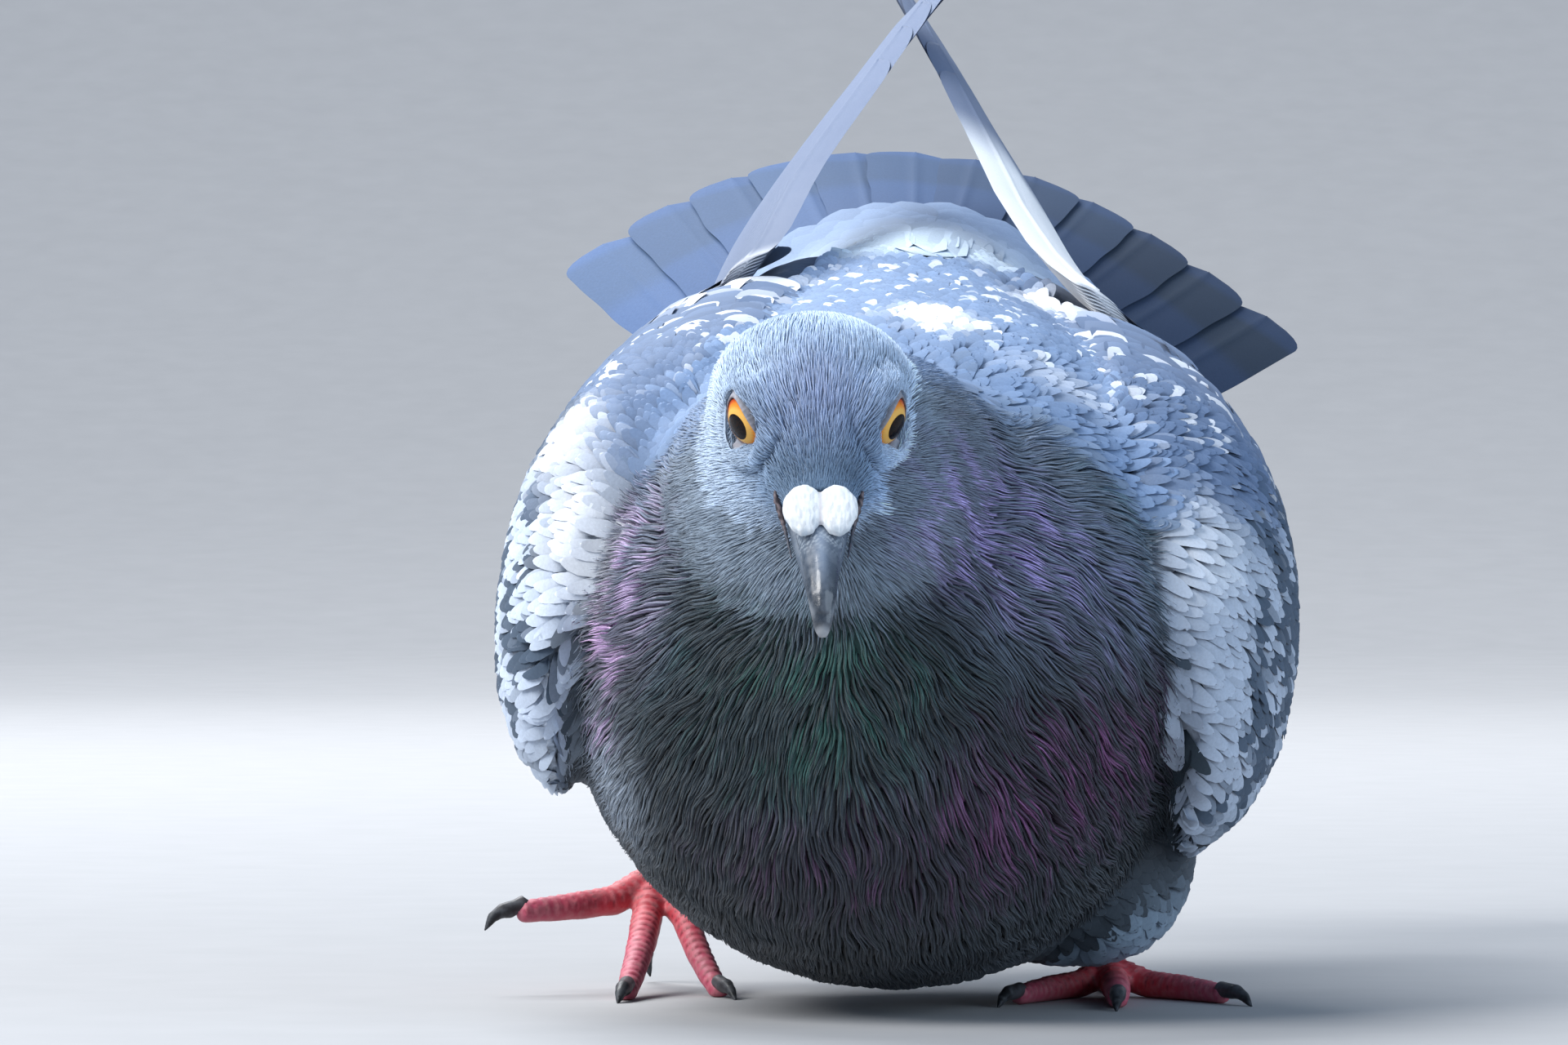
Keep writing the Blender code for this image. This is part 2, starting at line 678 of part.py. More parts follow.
def main():
    """Builds every sub-part, cuts each where it meets its neighbours, and sets the bird down."""
    clear_scene()
    body = trunk()
    skull = head()
    collar = neck()
    wings = [wing("wing_left", 1), wing("wing_right", -1)]
    blades = [
        flight_feathers("primaries_left", LEFT_PRIMARIES),
        flight_feathers("primaries_right", RIGHT_PRIMARIES),
    ]
    fan = tail()
    eyes = [eye("eye_left", 1), eye("eye_right", -1)]
    upper = bill_half("bill_upper", BILL_UPPER)
    lower = bill_half("bill_lower", BILL_LOWER)
    lobes = [cere("cere_left", 1), cere("cere_right", -1)]
    thighs = {name: thigh(name) for name in THIGHS}
    tarsi, toes, claws = legs()

    cut(skull, *eyes, upper, lower)
    cut(collar, skull, body)
    cut(body, skull)
    cut(lower, upper)
    cut(lobes[0], upper, skull)
    cut(lobes[1], upper, skull, lobes[0])
    cut(fan, body)
    for side, shell, blade in zip(("left", "right"), wings, blades, strict=True):
        cut(shell, collar, blade)
        upper_leg = thighs[f"thigh_{side}"]
        cut(upper_leg, body, shell)
        cut(tarsi[f"tarsus_{side}"], body, upper_leg)
    set_down(list(bpy.data.objects))


main()
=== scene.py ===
"""Finish of a life-size feral rock pigeon, built round its solids.

One smooth skin stands in for every fleshy solid. Over it lies a coat of closed mesh feathers: fine
tufts on the head, strands on the neck and breast, soft body feathers, rows of wing coverts and full
quills in the wings and the tail. Eyes, lids, bill, cere and claws are pieces of their own.

Lengths in the design are millimetres. Three frames are used: the row frame of the solids, the upright
frame (the bird before it leans onto its left leg) and the head's own frame, which looks along -Y.
"""

import logging
from dataclasses import dataclass, field
from enum import Enum
from math import pi, radians
from typing import Callable

import bmesh
import bpy
import numpy as np
from mathutils import Matrix, Vector
from mathutils.bvhtree import BVHTree


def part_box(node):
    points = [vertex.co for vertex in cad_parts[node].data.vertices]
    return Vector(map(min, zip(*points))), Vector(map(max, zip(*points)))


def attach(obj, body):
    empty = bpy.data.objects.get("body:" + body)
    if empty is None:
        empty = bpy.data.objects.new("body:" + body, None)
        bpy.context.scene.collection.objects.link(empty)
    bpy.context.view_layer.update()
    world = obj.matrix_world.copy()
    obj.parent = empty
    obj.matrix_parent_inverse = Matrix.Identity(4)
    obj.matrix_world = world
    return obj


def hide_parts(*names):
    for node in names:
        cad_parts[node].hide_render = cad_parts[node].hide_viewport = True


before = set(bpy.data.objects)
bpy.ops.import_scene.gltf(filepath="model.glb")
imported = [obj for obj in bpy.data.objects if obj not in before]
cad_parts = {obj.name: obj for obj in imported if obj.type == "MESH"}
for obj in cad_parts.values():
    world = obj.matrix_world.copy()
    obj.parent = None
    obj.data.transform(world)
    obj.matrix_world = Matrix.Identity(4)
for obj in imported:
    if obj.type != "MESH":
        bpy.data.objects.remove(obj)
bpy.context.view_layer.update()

Array = np.ndarray
Colour = tuple[float, float, float]
Triple = tuple[float, float, float]
Piece = bpy.types.Object

MM = 0.001
BODY = "root"
SIDES = {"left": 1, "right": -1}
TOE_NAMES = ("middle", "outer", "inner", "hind")
LOG = logging.getLogger("pigeon")


# ---- arithmetic


def unit(vectors: Array) -> Array:
    """Vectors brought to length one along their last axis."""
    return vectors / np.maximum(np.linalg.norm(vectors, axis=-1, keepdims=True), 1e-9)


def smooth(low: float, high: float, values: Array) -> Array:
    """Shares from a smooth step, 0 at low and 1 at high, which may lie under low for a falling step."""
    share = np.clip((np.asarray(values, float) - low) / (high - low), 0, 1)
    return share * share * (3 - 2 * share)


def mix(first: Array, second: Array, share: Array) -> Array:
    """Blends rows, or one row, of the first into those of the second by each row's share."""
    share = np.asarray(share, float)[..., None]
    return np.asarray(first, float) * (1 - share) + np.asarray(second, float) * share


WAVES = 6


def ripple(points: Array, size: float, seed: int) -> Array:
    """A smooth random field.

    Args:
        points: Where to read it, in millimetres.
        size: The distance over which it changes, in millimetres.
        seed: Picks one field.

    Returns:
        Values from about -1 to 1.
    """
    draw = np.random.default_rng(seed)
    ways = unit(draw.normal(size=(WAVES, 3))) * draw.uniform(0.6, 1.5, (WAVES, 1)) * 2 * pi / size
    return np.sin(points @ ways.T + draw.uniform(0, 2 * pi, WAVES)).sum(-1) / 2.6


SCRAMBLE = np.array(((12.99, 39.35, 73.16), (78.23, 11.13, 52.24), (37.72, 83.16, 9.15)))


def cells(points: Array, size: float, seed: float) -> Array:
    """Distances to scattered middles, one in each cell of a grid.

    Args:
        points: Where to read, in millimetres.
        size: The width of a cell in millimetres.
        seed: Picks one scatter.

    Returns:
        The distance to the nearest middle, as a share of the cell's width.
    """
    spots = points / size
    home = np.floor(spots)
    nearest = np.full(len(points), 9.0)
    for step in np.stack(np.meshgrid(*[(-1, 0, 1)] * 3), -1).reshape(-1, 3):
        cell = home + step
        middle = cell + 0.5 + 0.7 * (np.sin(cell @ SCRAMBLE + seed) * 43758.5 % 1 - 0.5)
        nearest = np.minimum(nearest, np.linalg.norm(spots - middle, axis=-1))
    return nearest


def turned(vectors: Array, axes: Array, angles: Array) -> Array:
    """Directions that lie square to their unit axes, turned about them by angles in radians."""
    angles = np.asarray(angles)[..., None]
    return vectors * np.cos(angles) + np.cross(axes, vectors) * np.sin(angles)


def flattened(vectors: Array, normals: Array) -> Array:
    """The unit directions square to unit normals that are nearest to the given vectors."""
    return unit(vectors - normals * (vectors * normals).sum(-1, keepdims=True))


def faired(lines: Array, steps: Array, degree: int) -> tuple[Array, Array]:
    """Draws a smooth curve through the points of each line.

    Args:
        lines: Lines by points by three.
        steps: The share along its line of each point.
        degree: How far the curves may bend, as a polynomial's degree.

    Returns:
        Points on the curves, and the furthest that each line strayed from its own curve.
    """
    powers = np.vander(steps, degree + 1)
    curves = np.einsum("sd,dt,ntk->nsk", powers, np.linalg.pinv(powers), lines)
    return curves, np.linalg.norm(curves - lines, axis=-1).max(1)


# ---- frames


def turn_matrix(degrees: float, axis: str) -> Array:
    """The 3 by 3 rotation by some degrees about the axis X, Y or Z."""
    return np.array(Matrix.Rotation(radians(degrees), 3, axis))


@dataclass
class Stance:
    """How the bird stands: its lean, its bowed head, and where both are in the row frame."""

    head_centre: Triple = (-11.5, -88.0, 80.7)
    head_pitch: float = 46.0
    head_turn: float = 2.0
    lean: float = 5.5
    lean_height: float = 55.0
    eyes_middle: Triple = (0.0, 0.67, -0.55)
    head: Array = field(init=False)
    body: Array = field(init=False)
    shift: Array = field(init=False)

    def __post_init__(self) -> None:
        """Finds the design's place in the row frame from the middle between the eyeballs."""
        self.head = turn_matrix(self.head_turn, "Z") @ turn_matrix(self.head_pitch, "X")
        self.body = turn_matrix(self.lean, "Y")
        corners = [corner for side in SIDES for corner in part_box(f"eye_{side}")]
        middle = np.mean([list(corner) for corner in corners], axis=0) / MM
        self.shift = middle - np.array(self.head_centre) - self.head @ np.array(self.eyes_middle)

    def standing(self, points: Array) -> Array:
        """Row frame to the design's own place, still leaning."""
        return points - self.shift

    def upright(self, points: Array) -> Array:
        """Row frame to the upright frame."""
        pivot = np.array((0, 0, self.lean_height))
        return (points - self.shift - pivot) @ self.body + pivot

    def leaned(self, points: Array) -> Array:
        """Upright frame to the row frame."""
        pivot = np.array((0, 0, self.lean_height))
        return (points - pivot) @ self.body.T + pivot + self.shift

    def leaned_way(self, vectors: Array) -> Array:
        """A direction of the upright frame in the row frame."""
        return vectors @ self.body.T

    def to_head(self, points: Array) -> Array:
        """Row frame to the head's own frame."""
        return (points - self.shift - np.array(self.head_centre)) @ self.head

    def from_head(self, points: Array) -> Array:
        """The head's own frame to the row frame."""
        return points @ self.head.T + np.array(self.head_centre) + self.shift

    def head_way(self, vectors: Array) -> Array:
        """A direction of the head's own frame in the row frame."""
        return vectors @ self.head.T


SPINE_ALONG = (-87, -42, -15, 16, 46, 72, 92, 113)
SPINE_HEIGHT = (49, 51, 53, 57, 68, 85, 99, 109.5)


def spine(along: Array) -> Array:
    """The height of the body's middle line at places along it, in the upright frame's millimetres."""
    return np.interp(along, SPINE_ALONG, SPINE_HEIGHT)


# ---- meshes and surfaces


def linked(name: str, data: bpy.types.ID) -> Piece:
    """A new object in the scene that shows a mesh, a light or a camera."""
    obj = bpy.data.objects.new(name, data)
    bpy.context.scene.collection.objects.link(obj)
    return obj


def mesh_object(name: str, points: Array, faces: list) -> Piece:
    """A smooth-shaded object from points in millimetres of the row frame.

    Args:
        name: The piece's name.
        points: Its vertices.
        faces: Its faces as lists of vertex numbers.

    Returns:
        The linked object.
    """
    mesh = bpy.data.meshes.new(name)
    mesh.from_pydata((np.asarray(points) * MM).tolist(), [], faces)
    mesh.update()
    mesh.shade_smooth()
    return linked(name, mesh)


def places(obj: Piece) -> Array:
    """An object's vertices in millimetres."""
    found = np.zeros(len(obj.data.vertices) * 3)
    obj.data.vertices.foreach_get("co", found)
    return found.reshape(-1, 3) / MM


def set_places(obj: Piece, points: Array) -> None:
    """Moves an object's vertices to these places in millimetres."""
    obj.data.vertices.foreach_set("co", (points * MM).ravel())
    obj.data.update()


def vertex_normals(obj: Piece) -> Array:
    """The unit normals at an object's vertices."""
    found = np.zeros(len(obj.data.vertices) * 3)
    obj.data.vertex_normals.foreach_get("vector", found)
    return found.reshape(-1, 3)


def only(obj: Piece) -> None:
    """Leaves one object selected and active."""
    bpy.ops.object.select_all(action="DESELECT")
    obj.select_set(True)
    bpy.context.view_layer.objects.active = obj


def finish_modifiers(obj: Piece) -> None:
    """Applies every modifier of an object in order."""
    only(obj)
    for modifier in list(obj.modifiers):
        bpy.ops.object.modifier_apply(modifier=modifier.name)


def remeshed(obj: Piece, voxel: float, softening: int) -> Piece:
    """Melts an object's overlapping shells into one smooth closed skin.

    Args:
        obj: The object.
        voxel: The grain of the new mesh in millimetres.
        softening: How many smoothing passes follow.

    Returns:
        The same object.
    """
    grain = obj.modifiers.new("melt", "REMESH")
    grain.mode = "VOXEL"
    grain.voxel_size = voxel * MM
    if softening:
        soft = obj.modifiers.new("soften", "SMOOTH")
        soft.factor = 0.5
        soft.iterations = softening
    finish_modifiers(obj)
    obj.data.shade_smooth()
    return obj


def merged_copy(name: str, nodes: list[str], swell: float) -> Piece:
    """A welded copy of some solids, each grown a little so that their gaps close.

    Args:
        name: The new object's name.
        nodes: The solids' names.
        swell: How far each surface moves out, in millimetres.

    Returns:
        One object that holds all the copies.
    """
    whole = bmesh.new()
    for node in nodes:
        shape = bmesh.new()
        shape.from_mesh(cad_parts[node].data)
        bmesh.ops.remove_doubles(shape, verts=shape.verts, dist=0.01 * MM)
        bmesh.ops.recalc_face_normals(shape, faces=shape.faces)
        shape.normal_update()
        for vertex in shape.verts:
            vertex.co += vertex.normal * swell * MM
        part = bpy.data.meshes.new("part")
        shape.to_mesh(part)
        shape.free()
        whole.from_mesh(part)
        bpy.data.meshes.remove(part)
    mesh = bpy.data.meshes.new(name)
    whole.to_mesh(mesh)
    whole.free()
    return linked(name, mesh)


def paint(obj: Piece, layer: str, colours: Array) -> None:
    """Stores a colour for each vertex of an object.

    Args:
        obj: The object.
        layer: The attribute's name.
        colours: Rows of three or four numbers.
    """
    if colours.shape[1] == 3:
        colours = np.concatenate([colours, np.ones((len(colours), 1))], 1)
    found = obj.data.attributes.new(layer, "FLOAT_COLOR", "POINT")
    found.data.foreach_set("color", colours.astype(np.float32).ravel())


def torus_faces(rings: int, sides: int) -> list[tuple[int, ...]]:
    """Quads of a ring of rings, closed both ways round."""
    return [
        (
            ring * sides + side, ring * sides + (side + 1) % sides,
            (ring + 1) % rings * sides + (side + 1) % sides, (ring + 1) % rings * sides + side
        ) for ring in range(rings) for side in range(sides)
    ]


def lathe_faces(rings: int, sides: int) -> list[tuple[int, ...]]:
    """Faces of a closed stack of rings between a first and a last pole point.

    Args:
        rings: How many rings there are.
        sides: How many points each has.

    Returns:
        Quads, with a fan at each end.
    """
    last = 1 + rings * sides
    faces: list[tuple[int, ...]] = []
    for side in range(sides):
        after = (side + 1) % sides
        faces.append((0, 1 + after, 1 + side))
        faces.append((last, last - sides + side, last - sides + after))
        for ring in range(rings - 1):
            low, high = 1 + ring * sides, 1 + (ring + 1) * sides
            faces.append((low + side, low + after, high + after, high + side))
    return faces


def outward(obj: Piece) -> Piece:
    """Turns a closed mesh's faces outwards."""
    shape = bmesh.new()
    shape.from_mesh(obj.data)
    bmesh.ops.recalc_face_normals(shape, faces=shape.faces)
    shape.to_mesh(obj.data)
    shape.free()
    obj.data.shade_smooth()
    return obj


def cut_through(node: str, point: Array, normal: Array) -> Array:
    """Where a plane cuts the edges of a solid.

    Args:
        node: The solid's name.
        point: A point of the plane in millimetres.
        normal: The plane's unit normal.

    Returns:
        The crossing points.
    """
    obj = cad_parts[node]
    points = places(obj)
    edges = np.array([edge.vertices[:] for edge in obj.data.edges])
    height = (points - point) @ normal
    first, second = height[edges[:, 0]], height[edges[:, 1]]
    crossing = first * second < 0
    share = (first / np.where(crossing, first - second, 1))[crossing][:, None]
    a, b = points[edges[crossing, 0]], points[edges[crossing, 1]]
    return a + (b - a) * share


def main_axis(points: Array) -> Array:
    """The unit direction in which points spread furthest."""
    return np.linalg.svd(points - points.mean(0), full_matrices=False)[2][0]


@dataclass
class Limb:
    """The middle line and the radius of a leg, toe or claw, read from its solid."""

    middles: Array
    radii: Array

    @classmethod
    def of(cls, node: str, towards: Array, cuts: int = 7) -> "Limb":
        """Reads a round solid.

        Args:
            node: Its name.
            towards: A direction from its root to its end.
            cuts: How many times it is cut across.

        Returns:
            The limb, root first.
        """
        points = places(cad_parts[node])
        axis = main_axis(points)
        axis = axis * (1 if axis @ towards > 0 else -1)
        reach = points @ axis
        middles, radii = [], []
        for share in np.linspace(0.12, 0.88, cuts):
            at = reach.min() + (reach.max() - reach.min()) * share
            ring = cut_through(node, axis * at, axis)
            middles.append((ring.min(0) + ring.max(0)) / 2)
            radii.append(np.linalg.norm(ring - middles[-1], axis=1).mean())
        return cls(np.array(middles), np.array(radii))

    def finer(self, spacing: float) -> "Limb":
        """The same limb with points this close together."""
        reach = np.concatenate([[0], np.cumsum(np.linalg.norm(np.diff(self.middles, axis=0), axis=1))])
        at = np.linspace(0, reach[-1], max(int(reach[-1] / spacing), 3))
        middles = np.stack([np.interp(at, reach, row) for row in self.middles.T], 1)
        return Limb(middles, np.interp(at, reach, self.radii))

    def tube(self, name: str, sides: int) -> Piece:
        """A closed tube along the limb.

        Args:
            name: The object's name.
            sides: How many sides it has.

        Returns:
            The tube.
        """
        runs = unit(np.gradient(self.middles, axis=0))
        side = unit(np.cross(runs, (0, 0, 1.0)) + (1e-4, 0, 0))
        over = np.cross(side, runs)
        turn = 2 * pi * (np.arange(sides) + 0.5) / sides
        circle = np.cos(turn)[None, :, None] * side[:, None] + np.sin(turn)[None, :, None] * over[:, None]
        rings = self.middles[:, None] + circle * self.radii[:, None, None]
        first = self.middles[0] - runs[0] * self.radii[0] * 0.7
        last = self.middles[-1] + runs[-1] * self.radii[-1] * 0.7
        points = np.vstack([first, rings.reshape(-1, 3), last])
        points[:, 2] = np.maximum(points[:, 2], 0.0)
        return outward(mesh_object(name, points, lathe_faces(len(rings), sides)))


class Surface:
    """A mesh in millimetres that points can be laid on."""

    def __init__(self, obj: Piece) -> None:
        """Reads an object's mesh.

        Args:
            obj: Any mesh object at the origin.
        """
        self.points = places(obj)
        self.faces = [tuple(polygon.vertices) for polygon in obj.data.polygons]
        self.tree = BVHTree.FromPolygons(self.points.tolist(), self.faces)
        normals = vertex_normals(obj)
        self.face_normals = unit(np.array([normals[list(face)].mean(0) for face in self.faces]))

    def snap(self, points: Array) -> tuple[Array, Array]:
        """The nearest places on the surface.

        Args:
            points: Any points.

        Returns:
            The places and the smooth unit normals there.
        """
        found = [self.tree.find_nearest(point) for point in points.tolist()]
        return np.array([hit[0] for hit in found]), self.face_normals[[hit[2] for hit in found]]

    def distance(self, points: Array) -> Array:
        """How far each point is from the surface."""
        return np.array([self.tree.find_nearest(point)[3] for point in points.tolist()])

    def cast(self, starts: Array, ways: Array) -> tuple[Array, Array, Array]:
        """Where rays meet the surface.

        Args:
            starts: The rays' starts.
            ways: Their directions.

        Returns:
            The places, the normals there and whether each ray met the surface.
        """
        found = [self.tree.ray_cast(a, b) for a, b in zip(starts.tolist(), ways.tolist(), strict=True)]
        met = np.array([hit[0] is not None for hit in found])
        spots = np.array([hit[0] if hit[0] is not None else (0, 0, 0) for hit in found], float)
        numbers = [hit[2] if hit[0] is not None else 0 for hit in found]
        return spots, self.face_normals[numbers], met

    def scattered(self, keep: Array, spacing: float, seed: int) -> Array:
        """Points spread evenly over part of the surface, no two closer than a distance.

        Args:
            keep: For each vertex, whether its stretch of surface takes points.
            spacing: The least distance in millimetres.
            seed: Picks one spread.

        Returns:
            The points.
        """
        chosen = [face for face in self.faces if keep[list(face)].any()]
        if not chosen:
            return np.zeros((0, 3))
        ground = mesh_object("ground", self.points, chosen)
        tree = bpy.data.node_groups.new("spread", "GeometryNodeTree")
        tree.interface.new_socket("Mesh", in_out="INPUT", socket_type="NodeSocketGeometry")
        tree.interface.new_socket("Mesh", in_out="OUTPUT", socket_type="NodeSocketGeometry")
        start = tree.nodes.new("NodeGroupInput")
        sow = tree.nodes.new("GeometryNodeDistributePointsOnFaces")
        turn = tree.nodes.new("GeometryNodePointsToVertices")
        end = tree.nodes.new("NodeGroupOutput")
        sow.distribute_method = "POISSON"
        sow.inputs["Distance Min"].default_value = spacing * MM
        sow.inputs["Density Max"].default_value = 3.0 / (spacing * MM) ** 2
        sow.inputs["Seed"].default_value = seed
        tree.links.new(start.outputs[0], sow.inputs["Mesh"])
        tree.links.new(sow.outputs["Points"], turn.inputs[0])
        tree.links.new(turn.outputs[0], end.inputs[0])
        modifier = ground.modifiers.new("spread", "NODES")
        modifier.node_group = tree
        shape = ground.evaluated_get(bpy.context.evaluated_depsgraph_get())
        found = places(shape)
        mesh = ground.data
        bpy.data.objects.remove(ground)
        bpy.data.meshes.remove(mesh)
        bpy.data.node_groups.remove(tree)
        return found


# ---- feathers


class Ring(Enum):
    """The cross-section of a feather: how far across and how far over its middle each point lies."""

    THREAD = ((-1, 0, 1), (0, 1, 0))
    LEAF = ((-1, 0, 1, 0), (0, 1, 0, -0.4))
    VANE = ((-1, -0.5, 0, 0.5, 1, 0.4, -0.4), (0, 0.8, 1, 0.8, 0, -0.3, -0.3))
    QUILL = (
        (-1, -0.75, -0.5, -0.25, -0.07, 0, 0.07, 0.25, 0.5, 0.75, 1, 0.5, 0.07, 0, -0.07, -0.5),
        (0, 0.3, 0.45, 0.55, 0.65, 1.4, 0.65, 0.55, 0.45, 0.3, 0, -0.1, -0.3, -1.1, -0.3, -0.1),
    )


@dataclass
class Lay:
    """Feathers laid out and ready to be made: one row for each feather, one column for each ring."""

    line: Array
    up: Array
    half_width: Array
    thickness: Array
    pigment: Array
    home: Array
    lustre: Array | None = None
    camber: float = 0.0
    roll: Array | float = 0.0
    patch: tuple[float, float] = (0.003, 0.003)
    check: Array | None = None

    def __post_init__(self) -> None:
        """Gives every feather and ring its own row, and no lustre where none is named."""
        shape = self.line.shape[:2]
        self.half_width = np.broadcast_to(self.half_width, shape)
        self.thickness = np.broadcast_to(self.thickness, shape)
        if self.lustre is None:
            self.lustre = np.zeros((*shape, 4))

    def rings(self, ring: Ring) -> Array:
        """The places of all vertices, feather by feather, ring by ring.

        Args:
            ring: The cross-section.

        Returns:
            An array of feathers by rings by points by three.
        """
        run = unit(np.gradient(self.line, axis=1))
        side = unit(np.cross(run, self.up))
        over = np.cross(side, run)
        roll = np.broadcast_to(np.asarray(self.roll, float).reshape(-1, 1), self.line.shape[:2])
        side, over = turned(side, run, roll), turned(over, run, roll)
        across, height = (np.array(row, float) for row in ring.value)
        reach = self.half_width[..., None] * across
        rise = self.thickness[..., None] * height - self.camber * self.half_width[..., None] * across**2
        beside, above = side[:, :, None] * reach[..., None], over[:, :, None] * rise[..., None]
        return self.line[:, :, None] + beside + above


def spread_homes(homes: Array) -> Array:
    """Stretches places on an unwrap so that they fill the map."""
    low, high = homes.min(0), homes.max(0)
    return 0.01 + 0.98 * (homes - low) / np.maximum(high - low, 1e-6)


def quill_homes(count: int) -> Array:
    """Places on the map for a row of long feathers, side by side."""
    return np.stack([(np.arange(count) + 0.5) / count, np.full(count, 0.5)], 1)


def feather_piece(name: str, ring: Ring, lay: Lay) -> Piece:
    """Makes one joined mesh of closed feathers.

    Args:
        name: The piece's name.
        ring: The cross-section of every feather in it.
        lay: Where they lie and what colours they have.

    Returns:
        The object, with its bake map, its vane map and its colour attributes.
    """
    count, steps = lay.line.shape[0], lay.line.shape[1] - 1
    width = len(ring.value[0])
    points = lay.rings(ring)
    step, part = np.meshgrid(np.arange(steps), np.arange(width), indexing="ij")
    step, part = step.ravel(), part.ravel()
    corner_steps = np.stack([step, step, step + 1, step + 1], 1).ravel()
    corner_parts = np.stack([part, part + 1, part + 1, part], 1).ravel()
    cap = np.arange(width)
    corner_steps = np.concatenate([corner_steps, cap * 0, cap * 0 + steps])
    corner_parts = np.concatenate([corner_parts, cap[::-1], cap])
    pattern = corner_steps * width + corner_parts % width
    starts = np.concatenate([np.arange(len(step)) * 4, [4 * len(step), 4 * len(step) + width]])
    corners = (np.arange(count)[:, None] * (steps + 1) * width + pattern).ravel()

    mesh = bpy.data.meshes.new(name)
    mesh.vertices.add(points.size // 3)
    mesh.vertices.foreach_set("co", (points * MM).ravel())
    mesh.loops.add(len(corners))
    mesh.loops.foreach_set("vertex_index", corners.astype(np.int32))
    mesh.polygons.add(count * len(starts))
    mesh.polygons.foreach_set(
        "loop_start", (np.arange(count)[:, None] * len(pattern) + starts).ravel().astype(np.int32)
    )
    mesh.update(calc_edges=True)
    mesh.validate()
    mesh.shade_smooth()
    if ring is not Ring.THREAD:
        ends = np.empty(len(mesh.edges) * 2, np.int32)
        mesh.edges.foreach_get("vertices", ends)
        first, second = ends.reshape(-1, 2).T % width
        rims = (first == second) & (np.abs(np.array(ring.value[0]))[first] == 1)
        mesh.attributes.new("sharp_edge", "BOOLEAN", "EDGE").data.foreach_set("value", rims)

    across = (np.array(ring.value[0]) / 2 + 0.5)[corner_parts % width]
    vane = np.stack([across, corner_steps / steps], 1)
    patch = np.stack([corner_parts / width - 0.5, corner_steps / steps - 0.5], 1)
    turn = 2 * pi * cap / width
    patch[-2 * width : -width] = 0.1 * np.stack([np.cos(turn), np.sin(turn)], 1) + (0, -0.4)
    patch[-width:] = 0.1 * np.stack([np.cos(turn), np.sin(turn)], 1) + (0, 0.4)
    bake = np.clip(lay.home[:, None] + patch * np.array(lay.patch), 0, 1)
    for layer, values in (("Vane", np.tile(vane, (count, 1))), ("OFBake", bake)):
        mesh.uv_layers.new(name=layer).data.foreach_set("uv", values.astype(np.float32).ravel())
    mesh.uv_layers.active = mesh.uv_layers["Vane"]
    mesh.uv_layers["Vane"].active_render = True

    obj = linked(name, mesh)
    for layer, values in (("pigment", lay.pigment), ("lustre", lay.lustre)):
        wide = np.broadcast_to(values[:, :, None], (*points.shape[:3], values.shape[-1]))
        paint(obj, layer, wide.reshape(-1, values.shape[-1]))
    if lay.check is not None:
        wide = np.repeat(lay.check, (steps + 1) * width).astype(np.float32)
        mesh.attributes.new("check", "FLOAT", "POINT").data.foreach_set("value", wide)
    return obj


def tapering(steps: int, tip: float = 0.1) -> Array:
    """Half widths along a tuft or a strand, as shares: full near its root, drawn out to a fine tip."""
    along = np.arange(steps + 1) / steps
    return np.maximum((0.55 + 0.45 * np.minimum(1, along * 4)) * (1 - along**2.2), tip)


def rounded_steps(steps: int) -> Array:
    """Places along a rounded feather, closer together towards its tip."""
    return 1 - (1 - np.arange(steps + 1) / steps) ** 1.9


def rounded(along: Array, full: float, blunt: float, tip: float = 0.08) -> Array:
    """Half widths along a round-tipped feather, as shares.

    Args:
        along: Places from 0 at the root to 1 at the tip.
        full: Where it reaches its full width.
        blunt: Where its tip starts to round off.
        tip: The least share.

    Returns:
        The shares.
    """
    swelling = 0.3 + 0.7 * smooth(0, full, along)
    closing = np.sqrt(np.maximum(1 - np.clip((along - blunt) / (1 - blunt), 0, 1) ** 2.4, 0))
    return np.maximum(swelling * closing, tip)


# ---- markings


class Tract(Enum):
    """The parts of the plumage that are coloured by their own rule."""

    HEAD = 0
    COLLAR = 1
    TRUNK = 2
    WING = 3
    THIGH = 4


@dataclass(frozen=True)
class Pigments:
    """The plumage's colours, as linear red, green and blue; the crown's is paler by a painted highlight."""

    forehead: Colour = (0.260, 0.370, 0.540)
    crown: Colour = (0.450, 0.570, 0.740)
    lore: Colour = (0.160, 0.245, 0.360)
    cheek: Colour = (0.480, 0.590, 0.740)
    throat: Colour = (0.230, 0.290, 0.370)
    breast: Colour = (0.036, 0.050, 0.064)
    collar: Colour = (0.160, 0.210, 0.285)
    belly: Colour = (0.055, 0.068, 0.084)
    flank: Colour = (0.190, 0.245, 0.320)
    vent: Colour = (0.200, 0.245, 0.325)
    mantle: Colour = (0.170, 0.250, 0.405)
    rump: Colour = (0.700, 0.830, 0.960)
    shoulder: Colour = (0.110, 0.165, 0.280)
    wing: Colour = (0.480, 0.550, 0.670)
    lobe: Colour = (0.400, 0.470, 0.570)
    white: Colour = (0.880, 0.900, 0.940)
    quill: Colour = (0.130, 0.175, 0.290)
    band: Colour = (0.045, 0.070, 0.115)
    tail: Colour = (0.050, 0.085, 0.170)
    thigh: Colour = (0.270, 0.350, 0.440)
    tail_base: Colour = (0.200, 0.275, 0.420)
    lavender: Colour = (0.330, 0.360, 0.560)
    spot: Colour = (0.040, 0.066, 0.105)


